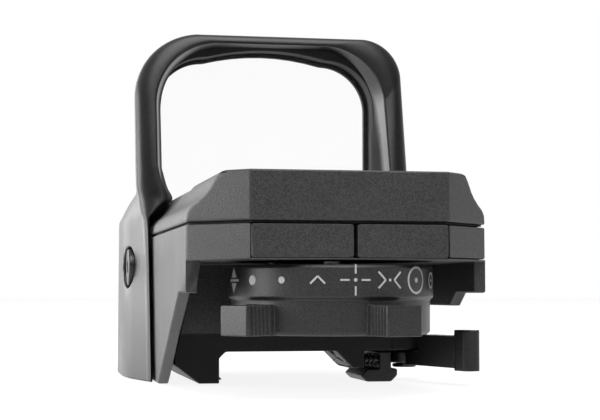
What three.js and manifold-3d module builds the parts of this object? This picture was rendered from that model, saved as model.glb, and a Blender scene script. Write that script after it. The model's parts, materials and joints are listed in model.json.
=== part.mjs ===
// An open reflex sight with a rotary reticle selector, used as a red dot finder.
// Millimetres. X runs to the viewer's right, Y forward along the line of sight, Z up.
// Inside the sight group, y is the depth ahead of the eye-side face and z the height above the rail's
// top. The exported group moves y to the middle of the rail clamp.

import * as THREE from 'three';
import { mergeVertices } from 'three/addons/utils/BufferGeometryUtils.js';
import Module from 'manifold-3d';

const wasm = await Module();
wasm.setup();

// Clearances shared by all pieces

const seat = 0.05; // between faces that are fastened together
const running = 0.06; // a shaft in its bush, on the radius
const sliding = 0.15; // a sliding piece in its guide
const air = 0.3; // free gap beside a moving piece
const overrun = 1; // how far a cut passes the face that it opens
const roundSides = 16; // facets round a small pin or hole
const turnedSides = 48; // facets round the selector drum

// Driving dimensions

const body = {
  width: 41.6,
  chamfer: 7.5, // 45 degree cut on both eye-side corners
  length: 78,
  wall: 1.7,
  skirtBottom: 9.2, // lower edge of the walls beside the drum
  lipBottom: 13.5, // roof over the drum
  lipHeight: 0.25,
  floor: 0.7, // roof over the drum, under the electronics
  top: 18.3, // seam with the cover
  cavityFront: 42,
  drumBayFront: 28,
  coreIn: 4.3, // from the right side to the solid lower part
  leftFoot: -4.9, // the left wall reaches down beside the clamp
  rightFoot: 7.35, // the right wall stays clear of the lever
  skirtLength: 16,
  leftSlopeFront: 43,
  rightSlopeFront: 19,
  wallShort: 2, // the walls and the clamp end behind the front face
};

const half = body.width / 2;
const faceHalf = half - body.chamfer;
const chamferShare = Math.SQRT2 - 1;
const wallFront = body.length - body.wallShort;
const coreRight = half - body.coreIn;

const cover = {
  bottom: 18.6,
  top: 25.3,
  frontTop: 24.4,
  stepAt: 31,
  frontShort: 20,
  crownIn: 4.8, // from the side to the flat top
  crownOut: 0.9,
  coveTopIn: 3.2,
  coveTopDrop: 1.5,
  coveHeight: 3.05,
  coveWidth: 2.5,
  coveSag: 1.3,
  edgeDrop: 0.95, // rounded lower shoulder
  edgeOut: 0.5,
  hollowWall: 2,
  roof: 1.7,
  hollowIn: 4.6, // the hollow narrows above the board, behind the coves
  hollowStep: 20.2,
  hollowFront: 29,
  stageBoss: 2.3, // block round the bores of the windage screw and its guide pin
  stageBossLength: 2.4,
  troughHalf: 9,
  troughFloor: 1,
  bossRadius: 2.1,
};
cover.front = body.length - cover.frontShort;
cover.crownHalf = half - cover.crownIn;
cover.coveTopHalf = half - cover.coveTopIn;
cover.hollowHalf = half - cover.hollowIn;

const gasket = { inset: 0.5, width: 1.2 };

const coverScrew = {
  rearIn: 2.1, rearY: 9, frontIn: 6, frontShort: 32,
  headRadius: 1.9, headHeight: 1.4, sink: 0.2, shankRadius: 0.95, reach: 9, socketRadius: 0.8, socketDepth: 0.8,
};
coverScrew.rearX = faceHalf - coverScrew.rearIn;
coverScrew.frontX = half - coverScrew.frontIn;
coverScrew.frontY = body.length - coverScrew.frontShort;

const pad = {
  groove: 0.5, // gap between the two push pads, with the index line in it
  grooveX: 0.65, // the groove lies to the right of the middle plane
  thickness: 2.4,
  corner: 0.35,
  travel: 0.5,
  stemRadius: 1.2,
  stemLength: 1.5,
  stemShare: 0.52,
  bayDepth: 6.6,
};

const buttonSeal = { back: 0.55, thickness: 0.7, endGap: 0.35 };
const buttonBoard = { start: 5.1, thickness: 0.9, height: 3.6, endGap: 0.8 };
const buttonSwitch = { width: 3, height: 3 };

const tray = {
  depth: 34, // how far forward its outer cap reaches
  capWall: 1.9,
  frameStart: 12,
  frameEnd: 33.5,
  cellIn: 12.2, // from the side to the middle of the cell
  cellY: 22.5,
  cornerBack: 3.4, // the frame's inner corner, from the middle of the cell
  leftBack: 11,
  cornerY: 18,
  floor: 0.5,
  notch: 3.4,
};
tray.cellX = half - tray.cellIn;
tray.cornerX = tray.cellX - tray.cornerBack;
tray.cornerLeft = tray.cellX - tray.leftBack;

const cell = { radius: 10, height: 3.2, edge: 0.3, clearance: 0.1 };

const drum = {
  y: 12.6, // its axis lies on the middle plane
  radius: 14.2,
  bottom: 3.6,
  top: 12.9,
  edge: 0.35,
  waist: 0.45, // the lower part is this much smaller
  waistTop: 8.3,
  recessRadius: 12.4,
  recessTop: 9.6,
  hubRadius: 3.4,
  hubBottom: 6.2,
  washerSeat: 12.4,
  washerSeatRadius: 4,
  grooveRadius: 10,
  grooveHalf: 0.85,
  grooveDepth: 0.6,
  dimpleRadius: 0.8,
  dimpleDepth: 0.3,
  restTurn: -18.25, // degrees from the middle position
  markPitch: 20,
  firstMark: -60,
  marks: 8,
};

const lug = {
  reach: 18.2, // from the axis to its end face
  width: 5.5,
  height: 4,
  spread: 38, // degrees either side of the drum's middle
  ribs: 5,
  ribDepth: 0.5,
  plainShare: 0.06,
  edge: 0.3,
  root: 1,
};

const spindle = { radius: 1.5, top: 21.1, boreRadius: 0.75, boreTop: 10.5 };
const bush = { radius: 2.7 };
const drumScrew = {
  headRadius: 2.4, headHeight: 1.1, shankRadius: 0.7, reach: 3.6, socketRadius: 0.8, socketDepth: 0.7,
};
const washer = { inner: 1.75, outer: 3.6, thickness: 0.15, wave: 0.18, steps: 36, waves: 3 };
const spindleSeal = { section: 0.4, sides: 6 };

const detent = {
  x: -7, ballRadius: 1, bossRadius: 2, bossTop: 17.4, springRadius: 0.8, springWire: 0.25, ballSides: 16,
};

const board = { bottom: 18.9, thickness: 1, start: 4.2, end: 20.2, screwIn: 5.6, screwY: 17 };
board.screwX = half - board.screwIn;
const boardScrew = { headRadius: 1.4, headHeight: 0.5, shankRadius: 0.6, reach: 2.2, holeExtra: 0.15 };
const rotor = { radius: 5.4, thickness: 0.8, above: 0.35, wiperRadius: 4.3, wiperSize: 0.8 };

const contactTop = { leftBack: 3.1, rightOn: 3.4, start: 14.6, end: 17, thickness: 0.2 };
const contactSide = { thickness: 0.3, height: 3, width: 2.6, footLength: 2.6, footHeight: 0.4 };

const carriage = {
  halfWidth: 4.2,
  rear: 20.6,
  block: 3,
  front: 27.6,
  bottom: 18.9,
  top: 23.4,
  arm: 0.7,
  travel: 0.4,
  screwY: 22.1,
  screwZ: 21.1,
};

const windageScrew = {
  headIn: 2.7, headRadius: 1.9, headLength: 1.3, shankRadius: 0.9, tip: -1.6,
  slotWidth: 0.5, slotDepth: 0.5, recessRadius: 2.3,
};
windageScrew.headX = half - windageScrew.headIn;

const guidePin = { radius: 0.9, endIn: 4.2, right: -2.7 };
guidePin.left = guidePin.endIn - half;
const windageSpring = { inner: 1.05, outer: 1.5, gap: 0.5 };

const elevation = {
  y: 25.6, headRadius: 1.5, headBottom: 23.5, headTop: 24.8, neckRadius: 0.7, neckBottom: 20.7,
  slotWidth: 0.5, slotDepth: 0.5, holeRadius: 2.1,
  halfWidth: 2.2, rear: 23.9, front: 27.3, bottom: 20, top: 22.3, travel: 0.3,
};

const emitter = { halfWidth: 1.4, length: 0.9, bottom: 20.3, top: 22 };
const emitterWindow = { halfWidth: 4.6, bottom: 19.9, top: 23, thickness: 1, rim: 0.6 };

// The hood's widths are counted from the body's side, its depths from the body's front face
// and its heights from its own top
const hood = {
  footZ: -4.9,
  rightFootZ: 7.5,
  rimShort: 31, // the rear rim at the foot
  rake: 0.23, // rim depth gained for each millimetre of height
  frontShort: 1,
  frontRake: 0.05,
  top: 53.2,
  sideOut: 2.2,
  corner: 6.8,
  leftCorner: 11.4, // the left upper corner is rounder than the right one
  cornerSteps: 7,
  noseShare: 0.3, // the rim's nearest line, as a share of the rim's width
  noseBack: 0.7,
  rimSlope: 1.15,
  innerIn: 2.3,
  innerDrop: 2.05,
  innerCorner: 11,
  pocketIn: 0.25,
  pocketDrop: 0.75,
  pocketCorner: 10.5,
  flankOut: 1.05,
  frontOut: 0.5,
  frontDrop: 0.15,
  frontCorner: 9.5,
  flankDepth: 12,
  cheekOut: 3.95,
  cheekFrontOut: 3.65,
  footRimOut: 1.2,
  footLift: 1.1, // the outer lower edge rises forward
  bodyGap: 0.3,
  ledgeIn: 4.2,
};
hood.rimFoot = body.length - hood.rimShort;
hood.front = body.length - hood.frontShort;
hood.half = half + hood.sideOut;
hood.innerHalf = half - hood.innerIn;
hood.innerTop = hood.top - hood.innerDrop;
hood.pocketHalf = half - hood.pocketIn;
hood.pocketTop = hood.top - hood.pocketDrop;
hood.flankHalf = half + hood.flankOut;
hood.frontHalf = half + hood.frontOut;
hood.frontTop = hood.top - hood.frontDrop;
hood.cheekHalf = half + hood.cheekOut;
hood.cheekFrontHalf = half + hood.cheekFrontOut;
hood.footRimHalf = half + hood.footRimOut;
hood.ledgeHalf = half - hood.ledgeIn;

const hoodScrew = {
  short: 16.8, z: 13.4, recessRadius: 3.45, seatOut: 1.95, headRadius: 3.05, headHeight: 1.3,
  shankRadius: 1.45, holeRadius: 1.6, endIn: 5.3, socketRadius: 1.3, socketDepth: 0.8,
};
hoodScrew.y = body.length - hoodScrew.short;
hoodScrew.seatX = half + hoodScrew.seatOut;
hoodScrew.inner = half - hoodScrew.endIn;

const lens = {
  rearShort: 14, frontShort: 6, frameIn: 0.75, frameDrop: 1.25, frameCorner: 10,
  openIn: 1.85, openDrop: 2.05, openBottom: 24.3, openCorner: 8.4, openLowCorner: 1.5,
  crown: 1.4, // rise of the upper edge from its ends to its middle
  seatLip: 0.35, glassShort: 11, glassThickness: 2.2, retainer: 1.2,
};
lens.frameRear = body.length - lens.rearShort;
lens.frameFront = body.length - lens.frontShort;
lens.glassRear = body.length - lens.glassShort;
lens.frameHalf = half - lens.frameIn;
lens.frameTop = hood.top - lens.frameDrop;
lens.openHalf = half - lens.openIn;
lens.openTop = hood.top - lens.openDrop;

// The clamp's depths are counted from its own rear end
const base = {
  length: 35,
  top: 3,
  leftIn: 2.2,
  leftDrop: -1.8,
  jawOuter: -14.6,
  bottom: -4.9,
  jawInner: -11.4,
  jawCorner: 1,
  rightIn: 4.4,
  hookStart: 10,
  hookShort: 2,
  hookTop: -2.9,
  hookReach: 1.9,
  seatHalf: 7.2, // where the rail's bevel starts, from the middle plane
  seatDrop: 2.7,
  ribRight: 11.8,
  ribLength: 12,
  earStart: 1.6,
  earEnd: 10.4,
  earOut: 1.8,
};
base.front = wallFront;
base.rear = base.front - base.length;
base.left = base.leftIn - half;
base.right = half - base.rightIn;

const baseScrew = {
  x: 5.5, inset: 5.5, headRadius: 2.7, headHeight: 1.6, sink: 0.2,
  shankRadius: 1.45, reach: 9, socketRadius: 1.2, socketDepth: 1, holeExtra: 0.1,
};

const jaw = {
  start: 0.2, end: 11.8, travel: 2.4, lipLeft: 11.2, lipTop: -2.85, lipTip: -4, lipRight: 17.2, chamfer: 1,
  upLeft: 14.3, upRight: 16.2, top: -0.15, lipSlope: 1.15,
};

const jawPin = { radius: 0.6, z: -1.45, rear: 1.5, front: 10.5, left: 8.9, right: 15.4 };
const jawSpring = { inner: 0.72, outer: 1.05, left: 9.6 };

const lever = {
  x: 19.85, back: 6, hubRadius: 3.4, hubBottom: -2.1, hubTop: -0.15, swing: 150,
  armHalf: 1.6, armStart: 3.2, stepOut: 6.2, armTop: 2.55, armBottom: -2.35,
  padReach: 15.6, padLength: 4, padTop: 3.5, padBottom: -2.75, padLeft: -1.45, padRight: 1.6, padCorner: 1.2,
  angle: 17.6, // from straight back, outwards
  camSteps: 48,
};
lever.y = base.rear + lever.back;

const leverPin = { radius: 1.3, headRadius: 1.95, headHeight: 0.7, bottom: -2.85, top: 2.8 };

// Solids from three.js geometry

function facingOut(geometry) {
  const p = geometry.attributes.position;
  const index = geometry.index;
  let volume = 0;
  const a = new THREE.Vector3();
  const b = new THREE.Vector3();
  const c = new THREE.Vector3();
  for (let i = 0; i < index.count; i += 3) {
    a.fromBufferAttribute(p, index.getX(i));
    b.fromBufferAttribute(p, index.getX(i + 1));
    c.fromBufferAttribute(p, index.getX(i + 2));
    volume += a.dot(b.cross(c));
  }
  if (volume < 0) {
    for (let i = 0; i < index.count; i += 3) {
      const first = index.getX(i);
      index.setX(i, index.getX(i + 1));
      index.setX(i + 1, first);
    }
  }
  return geometry;
}

function solid(geometry) {
  const bare = geometry.clone();
  bare.deleteAttribute('normal');
  bare.deleteAttribute('uv');
  const closed = facingOut(mergeVertices(bare));
  const vertProperties = new Float32Array(closed.attributes.position.array);
  const triVerts = new Uint32Array(closed.index.array);
  return new wasm.Manifold(new wasm.Mesh({ numProp: 3, vertProperties, triVerts }));
}

function joined(...solids) {
  return solids.reduce((sum, next) => sum.add(next));
}

function cut(from, ...tools) {
  return tools.reduce((rest, tool) => rest.subtract(tool), from);
}

function meshOf(name, shape, material) {
  const { numProp, vertProperties, triVerts } = shape.getMesh();
  const geometry = new THREE.BufferGeometry();
  const points = new Float32Array((vertProperties.length / numProp) * 3);
  for (let i = 0; i < points.length / 3; i += 1) {
    points.set(vertProperties.subarray(i * numProp, i * numProp + 3), i * 3);
  }
  geometry.setAttribute('position', new THREE.BufferAttribute(points, 3));
  geometry.setIndex(Array.from(triVerts));
  const mesh = new THREE.Mesh(geometry, material);
  mesh.name = name;
  return mesh;
}

function outline(points) {
  return new THREE.Shape(points.map(([u, v]) => new THREE.Vector2(u, v)));
}

// An outline in X and Y, raised from one height to another
function raised(shape, low, high, curveSegments = 8) {
  const geometry = new THREE.ExtrudeGeometry(shape, { depth: high - low, bevelEnabled: false, curveSegments });
  return solid(geometry.translate(0, 0, low));
}

// An outline in X and Z, run forward from one depth to another
function forward(shape, start, end, curveSegments = 8) {
  const geometry = new THREE.ExtrudeGeometry(shape, { depth: end - start, bevelEnabled: false, curveSegments });
  return solid(geometry.rotateX(Math.PI / 2).translate(0, end, 0));
}

// An outline in Y and Z, run to the right from one place to another
function across(shape, start, end, curveSegments = 8) {
  const geometry = new THREE.ExtrudeGeometry(shape, { depth: end - start, bevelEnabled: false, curveSegments });
  const turn = new THREE.Matrix4().makeBasis(
    new THREE.Vector3(0, 1, 0),
    new THREE.Vector3(0, 0, 1),
    new THREE.Vector3(1, 0, 0),
  );
  return solid(geometry.applyMatrix4(turn).translate(start, 0, 0));
}

function block(x0, x1, y0, y1, z0, z1) {
  const geometry = new THREE.BoxGeometry(x1 - x0, y1 - y0, z1 - z0);
  return solid(geometry.translate((x0 + x1) / 2, (y0 + y1) / 2, (z0 + z1) / 2));
}

function pinZ(radius, x, y, low, high, sides = roundSides) {
  const geometry = new THREE.CylinderGeometry(radius, radius, high - low, sides);
  return solid(geometry.rotateX(Math.PI / 2).translate(x, y, (low + high) / 2));
}

function pinX(radius, y, z, left, right, sides = roundSides) {
  const geometry = new THREE.CylinderGeometry(radius, radius, right - left, sides);
  return solid(geometry.rotateZ(Math.PI / 2).translate((left + right) / 2, y, z));
}

function pinY(radius, x, z, start, end, sides = roundSides) {
  const geometry = new THREE.CylinderGeometry(radius, radius, end - start, sides);
  return solid(geometry.translate(x, (start + end) / 2, z));
}

// A profile of radius and height, turned about a vertical axis
function turned(points, sides = roundSides) {
  const profile = points.map(([r, h]) => new THREE.Vector2(r, h));
  return solid(new THREE.LatheGeometry(profile, sides).rotateX(Math.PI / 2));
}

function sleeveX(inner, outer, y, z, left, right, sides = roundSides) {
  return cut(
    pinX(outer, y, z, left, right, sides),
    pinX(inner, y, z, left - overrun, right + overrun, sides),
  );
}

function hexagon(radius) {
  const points = [];
  for (let i = 0; i < 6; i += 1) {
    points.push([radius * Math.cos(i * Math.PI / 3), radius * Math.sin(i * Math.PI / 3)]);
  }
  return outline(points);
}

function roundedRect(x0, x1, z0, z1, radius) {
  const shape = new THREE.Shape();
  shape.moveTo(x0 + radius, z0);
  shape.lineTo(x1 - radius, z0);
  shape.absarc(x1 - radius, z0 + radius, radius, -Math.PI / 2, 0, false);
  shape.lineTo(x1, z1 - radius);
  shape.absarc(x1 - radius, z1 - radius, radius, 0, Math.PI / 2, false);
  shape.lineTo(x0 + radius, z1);
  shape.absarc(x0 + radius, z1 - radius, radius, Math.PI / 2, Math.PI, false);
  shape.lineTo(x0, z0 + radius);
  shape.absarc(x0 + radius, z0 + radius, radius, Math.PI, Math.PI * 1.5, false);
  return shape;
}

// The plan of the body, drawn in by an inset: a flat eye-side face, two chamfers and straight sides
function bodyPlan(inset, frontY) {
  const side = half - inset;
  const faceEnd = faceHalf - inset * chamferShare;
  const chamferEnd = body.chamfer + inset * chamferShare;
  return outline([
    [-faceEnd, inset], [faceEnd, inset], [side, chamferEnd], [side, frontY],
    [-side, frontY], [-side, chamferEnd],
  ]);
}

// A screw standing on its head's seat, with a hexagon socket, its axis along +Z
function screw(size, headLow, headHigh, shankLow) {
  const socket = raised(hexagon(size.socketRadius), headHigh - size.socketDepth, headHigh + overrun);
  const whole = joined(
    pinZ(size.headRadius, 0, 0, headLow, headHigh),
    pinZ(size.shankRadius, 0, 0, shankLow, headLow + seat),
  );
  return cut(whole, socket);
}

// Materials

const blackMetal = (name, color = 0x1d1d1e, roughness = 0.55) => {
  const material = new THREE.MeshStandardMaterial({ color, roughness, metalness: 0.35 });
  material.name = name;
  return material;
};
const plainMetal = (name, color = 0x9a9a98) => {
  const material = new THREE.MeshStandardMaterial({ color, roughness: 0.35, metalness: 0.9 });
  material.name = name;
  return material;
};
const dull = (name, color, roughness = 0.8) => {
  const material = new THREE.MeshStandardMaterial({ color, roughness, metalness: 0 });
  material.name = name;
  return material;
};
const clear = (name, color, opacity) => {
  const material = new THREE.MeshStandardMaterial({ color, roughness: 0.05, metalness: 0 });
  material.transparent = true;
  material.opacity = opacity;
  material.name = name;
  return material;
};

// The body

function wallShape(foot, slopeFront) {
  return outline([
    [body.chamfer, body.skirtBottom], [body.skirtLength, body.skirtBottom], [slopeFront, foot],
    [wallFront, foot], [wallFront, body.lipBottom + seat], [body.chamfer, body.lipBottom + seat],
  ]);
}

function coverScrewPlaces() {
  return [
    [-coverScrew.rearX, coverScrew.rearY], [coverScrew.rearX, coverScrew.rearY],
    [-coverScrew.frontX, coverScrew.frontY], [coverScrew.frontX, coverScrew.frontY],
  ];
}

function mainHousing() {
  const upper = raised(bodyPlan(0, body.length), body.lipBottom, body.top);
  const skirts = cut(
    raised(bodyPlan(0, wallFront), Math.min(body.leftFoot, body.rightFoot), body.lipBottom + seat),
    block(
      body.wall - half, half - body.wall, -overrun, wallFront + overrun,
      body.leftFoot - overrun, body.lipBottom + overrun,
    ),
  );
  const leftWall = skirts.intersect(
    across(wallShape(body.leftFoot, body.leftSlopeFront), -half - overrun, -faceHalf),
  );
  const rightWall = skirts.intersect(
    across(wallShape(body.rightFoot, body.rightSlopeFront), faceHalf, half + overrun),
  );
  const core = block(
    -half + body.wall - seat, coreRight, body.drumBayFront, body.length,
    base.top + seat, body.lipBottom + seat,
  );
  const floorTop = body.lipBottom + body.floor;
  const upperBay = raised(bodyPlan(cover.hollowWall, body.cavityFront), floorTop, body.top + overrun);
  const padBay = block(
    -faceHalf, faceHalf + seat, -overrun, pad.bayDepth, body.lipBottom + body.lipHeight, body.top + overrun,
  );
  const traySlot = block(
    faceHalf, half + overrun, -overrun, tray.depth + air, body.lipBottom + body.lipHeight, body.top + overrun,
  );
  const trayFloor = body.lipBottom + body.lipHeight;
  const innerFloor = cut(
    raised(bodyPlan(cover.hollowWall, tray.depth), trayFloor, floorTop),
    block(-half, half, -overrun, pad.bayDepth, trayFloor - overrun, floorTop + overrun),
  );
  const bosses = [-1, 1].map((side) => pinZ(
    cover.bossRadius, side * coverScrew.rearX, coverScrew.rearY, floorTop - body.floor / 2, body.top,
  ));
  const detentBoss = pinZ(
    detent.bossRadius, detent.x, detentY(), floorTop - body.floor / 2, detent.bossTop,
  );
  let housing = joined(upper, leftWall, rightWall, core);
  housing = cut(housing, upperBay, padBay, traySlot);
  housing = joined(housing, innerFloor.intersect(upper), ...bosses, detentBoss);
  const spindleHole = pinZ(
    bush.radius + seat, 0, drum.y, body.lipBottom - overrun, body.top,
  );
  const detentBore = pinZ(
    detent.ballRadius + sliding, detent.x, detentY(), body.lipBottom - overrun, detent.bossTop - body.floor,
  );
  const screwHoles = coverScrewPlaces().map(([x, y]) => pinZ(
    coverScrew.shankRadius + seat, x, y, coverShankLow(y) - seat, body.top + overrun,
  ));
  const baseHoles = baseScrewPlaces().map(([x, y]) => pinZ(
    baseScrew.shankRadius + seat, x, y, base.top - overrun, baseScrew.reach + seat,
  ));
  const hoodHoles = [-1, 1].map((side) => pinX(
    hoodScrew.shankRadius + seat, hoodScrew.y, hoodScrew.z,
    Math.min(side * (hoodScrew.inner - seat), side * (half + overrun)),
    Math.max(side * (hoodScrew.inner - seat), side * (half + overrun)),
  ));
  return cut(housing, spindleHole, detentBore, ...screwHoles, ...baseHoles, ...hoodHoles);
}

// The cover's section: a flat crown, a small round edge, a cove, and a rounded lower shoulder
function coverSection() {
  const shape = new THREE.Shape();
  const coveBottomHalf = cover.coveTopHalf + cover.coveWidth;
  const coveTop = cover.top - cover.coveTopDrop;
  const coveBottom = coveTop - cover.coveHeight;
  shape.moveTo(-half, cover.bottom);
  shape.lineTo(half, cover.bottom);
  shape.lineTo(half - (half - coveBottomHalf - cover.edgeOut) / 2, coveBottom - cover.edgeDrop);
  shape.lineTo(coveBottomHalf, coveBottom);
  const sagX = cover.coveTopHalf + cover.coveSag / 2;
  shape.quadraticCurveTo(sagX, coveBottom + cover.coveSag, cover.coveTopHalf, coveTop);
  shape.quadraticCurveTo(
    cover.crownHalf + cover.crownOut, cover.top, cover.crownHalf, cover.top,
  );
  shape.lineTo(-cover.crownHalf, cover.top);
  shape.quadraticCurveTo(
    -cover.crownHalf - cover.crownOut, cover.top, -cover.coveTopHalf, coveTop,
  );
  shape.quadraticCurveTo(-sagX, coveBottom + cover.coveSag, -coveBottomHalf, coveBottom);
  shape.lineTo(-half + (half - coveBottomHalf - cover.edgeOut) / 2, coveBottom - cover.edgeDrop);
  return shape;
}

function coverShankLow(y) {
  return coverTopAt(y) - coverScrew.sink - coverScrew.headHeight - coverScrew.reach;
}

function coverTopAt(y) {
  return y > cover.stepAt ? cover.frontTop : cover.top;
}

function topCover() {
  const run = forward(coverSection(), 0, cover.front, 4);
  const plan = raised(bodyPlan(0, cover.front), cover.bottom, cover.top + overrun);
  const step = block(
    -half, half, cover.stepAt, cover.front + overrun, cover.frontTop, cover.top + overrun,
  );
  const trough = block(
    -cover.troughHalf, cover.troughHalf, cover.stepAt, cover.front + overrun,
    cover.bottom + cover.troughFloor, cover.top + overrun,
  );
  const roofLow = cover.top - cover.roof;
  const boardBosses = [-1, 1].map((side) => pinZ(
    cover.bossRadius - seat, side * board.screwX, board.screwY, boardTop() + seat, cover.top,
  ));
  const screwBosses = coverScrewPlaces().slice(0, 2).map(([x, y]) => pinZ(
    cover.bossRadius, x, y, cover.bottom - overrun, cover.top,
  ));
  const stageBosses = [-1, 1].map((side) => block(
    Math.min(side * (cover.hollowHalf - cover.stageBossLength), side * half),
    Math.max(side * (cover.hollowHalf - cover.stageBossLength), side * half),
    carriage.screwY - cover.stageBoss, carriage.screwY + cover.stageBoss, cover.hollowStep, cover.top,
  ));
  const hollow = cut(
    joined(
      raised(bodyPlan(cover.hollowWall, cover.hollowFront), cover.bottom - overrun, cover.hollowStep),
      raised(bodyPlan(half - cover.hollowHalf, cover.hollowFront), cover.hollowStep - seat, roofLow),
    ),
    ...boardBosses,
    ...screwBosses,
    ...stageBosses,
  );
  const wing = cover.troughHalf + cover.hollowWall;
  const wingHollows = [-1, 1].map((side) => block(
    Math.min(side * wing, side * (cover.crownHalf)), Math.max(side * wing, side * (cover.crownHalf)),
    cover.stepAt + cover.hollowWall, coverScrew.frontY - cover.bossRadius - cover.hollowWall,
    cover.bottom - overrun, cover.frontTop - cover.roof,
  ));
  const windowBed = block(
    -emitterWindow.halfWidth - seat, emitterWindow.halfWidth + seat,
    cover.hollowFront - overrun, cover.hollowFront + emitterWindow.thickness + seat,
    emitterWindow.bottom - seat, emitterWindow.top + seat,
  );
  const aperture = block(
    -emitterWindow.halfWidth + emitterWindow.rim, emitterWindow.halfWidth - emitterWindow.rim,
    cover.hollowFront, cover.stepAt + overrun,
    emitterWindow.bottom + emitterWindow.rim, emitterWindow.top - emitterWindow.rim,
  );
  const screwCuts = coverScrewPlaces().flatMap(([x, y]) => {
    const headLow = coverTopAt(y) - coverScrew.sink - coverScrew.headHeight;
    return [
      pinZ(coverScrew.headRadius + seat, x, y, headLow - seat, cover.top + overrun),
      pinZ(coverScrew.shankRadius + seat, x, y, cover.bottom - overrun, cover.top),
    ];
  });
  const boardScrewCuts = [-1, 1].map((side) => pinZ(
    boardScrew.shankRadius + seat, side * board.screwX, board.screwY,
    boardTop(), boardTop() + boardScrew.reach,
  ));
  const elevationHole = pinZ(elevation.holeRadius, 0, elevation.y, roofLow - overrun, cover.top + overrun);
  const windageHole = pinX(
    windageScrew.recessRadius, carriage.screwY, carriage.screwZ,
    windageScrew.headX - windageScrew.headLength - sliding, half + overrun,
  );
  const windageShaft = pinX(
    windageScrew.shankRadius + running, carriage.screwY, carriage.screwZ,
    cover.hollowHalf - cover.stageBossLength - overrun, half,
  );
  const guideBore = pinX(
    guidePin.radius + seat, carriage.screwY, carriage.screwZ, guidePin.left - seat, 0,
  );
  const solidCover = run.intersect(plan);
  return cut(
    solidCover, step, trough, hollow, ...wingHollows, windowBed, aperture, ...screwCuts,
    ...boardScrewCuts, elevationHole, windageHole, windageShaft, guideBore,
  );
}

function coverGasket() {
  return cut(
    raised(bodyPlan(gasket.inset, cover.front - gasket.inset), body.top + seat, cover.bottom - seat),
    raised(
      bodyPlan(gasket.inset + gasket.width, cover.front - gasket.inset - gasket.width),
      body.top - overrun, cover.bottom + overrun,
    ),
  );
}

function coverScrewSolid(x, y) {
  const headHigh = coverTopAt(y) - coverScrew.sink;
  return screw(coverScrew, headHigh - coverScrew.headHeight, headHigh, coverShankLow(y)).translate([x, y, 0]);
}

// The push pads, their seal and their switches

function padSolid(side) {
  const low = body.lipBottom + body.lipHeight + seat;
  const high = body.top - seat * 2;
  const near = pad.grooveX + side * pad.groove / 2;
  const far = side * (faceHalf - seat);
  const plate = forward(
    roundedRect(Math.min(near, far), Math.max(near, far), low, high, pad.corner), 0, pad.thickness, 4,
  );
  const stem = pinY(
    pad.stemRadius, side * faceHalf * pad.stemShare, (low + high) / 2,
    pad.thickness - seat, pad.thickness + pad.stemLength,
  );
  return joined(plate, stem);
}

function buttonSealSolid() {
  const start = pad.thickness + buttonSeal.back;
  const low = body.lipBottom + body.lipHeight + seat;
  const high = body.top - seat;
  const middle = (body.lipBottom + body.lipHeight + body.top) / 2;
  const end = faceHalf - buttonSeal.endGap;
  const holes = [-1, 1].map((side) => pinY(
    pad.stemRadius + air, side * faceHalf * pad.stemShare, middle,
    start - overrun, start + buttonSeal.thickness + overrun,
  ));
  return cut(block(-end, end, start, start + buttonSeal.thickness, low, high), ...holes);
}

function buttonBoardSolid() {
  const end = faceHalf - buttonBoard.endGap;
  const low = body.lipBottom + body.lipHeight + seat;
  return block(
    -end, end, buttonBoard.start, buttonBoard.start + buttonBoard.thickness,
    low, low + buttonBoard.height,
  );
}

function buttonSwitchSolid(side) {
  const middle = (body.lipBottom + body.lipHeight + body.top) / 2;
  const x = side * faceHalf * pad.stemShare;
  const start = pad.thickness + pad.stemLength + pad.travel + seat;
  const low = middle - buttonSwitch.height / 2;
  const boardLow = body.lipBottom + body.lipHeight + seat;
  return block(
    x - buttonSwitch.width / 2, x + buttonSwitch.width / 2, start, buttonBoard.start - seat / 2,
    Math.max(low, boardLow), low + buttonSwitch.height,
  );
}

// The battery tray with its coin cell

function batteryTray() {
  const low = body.lipBottom + body.lipHeight + sliding / 2;
  const high = body.top - seat * 2;
  const capPlan = cut(
    raised(bodyPlan(seat, tray.depth), low, high),
    raised(bodyPlan(tray.capWall, tray.depth + overrun), low - overrun, high + overrun),
    block(-half - overrun, faceHalf + sliding, -overrun, tray.depth + overrun, low - overrun, high + overrun),
  );
  const frameLow = body.lipBottom + body.floor + sliding;
  const right = half - tray.capWall + seat;
  const frame = raised(outline([
    [right, tray.frameStart], [tray.cornerX, tray.frameStart], [tray.cornerLeft, tray.cornerY],
    [tray.cornerLeft, tray.frameEnd], [right, tray.frameEnd],
  ]), frameLow, high);
  const pocket = pinZ(
    cell.radius + cell.clearance, tray.cellX, tray.cellY, frameLow + tray.floor, high + overrun, turnedSides,
  );
  const notch = block(
    tray.cornerLeft - overrun, tray.cellX, tray.cellY - tray.notch / 2, tray.cellY + tray.notch / 2,
    frameLow + tray.floor, high + overrun,
  );
  return joined(capPlan, cut(frame, pocket, notch));
}

function coinCell() {
  const low = body.lipBottom + body.floor + sliding + tray.floor + seat;
  const high = low + cell.height;
  return turned([
    [0, low], [cell.radius - cell.edge, low], [cell.radius, low + cell.edge],
    [cell.radius, high - cell.edge], [cell.radius - cell.edge, high], [0, high],
  ], turnedSides).translate([tray.cellX, tray.cellY, 0]);
}

function batteryContactTop() {
  const low = body.top + seat;
  const left = tray.cellX - contactTop.leftBack;
  const leaf = block(
    left, tray.cellX + contactTop.rightOn, contactTop.start, contactTop.end, low, low + contactTop.thickness,
  );
  const post = block(
    left, left + contactTop.thickness * 4, contactTop.start, contactTop.end, low, board.bottom - seat,
  );
  return joined(leaf, post);
}

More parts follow.
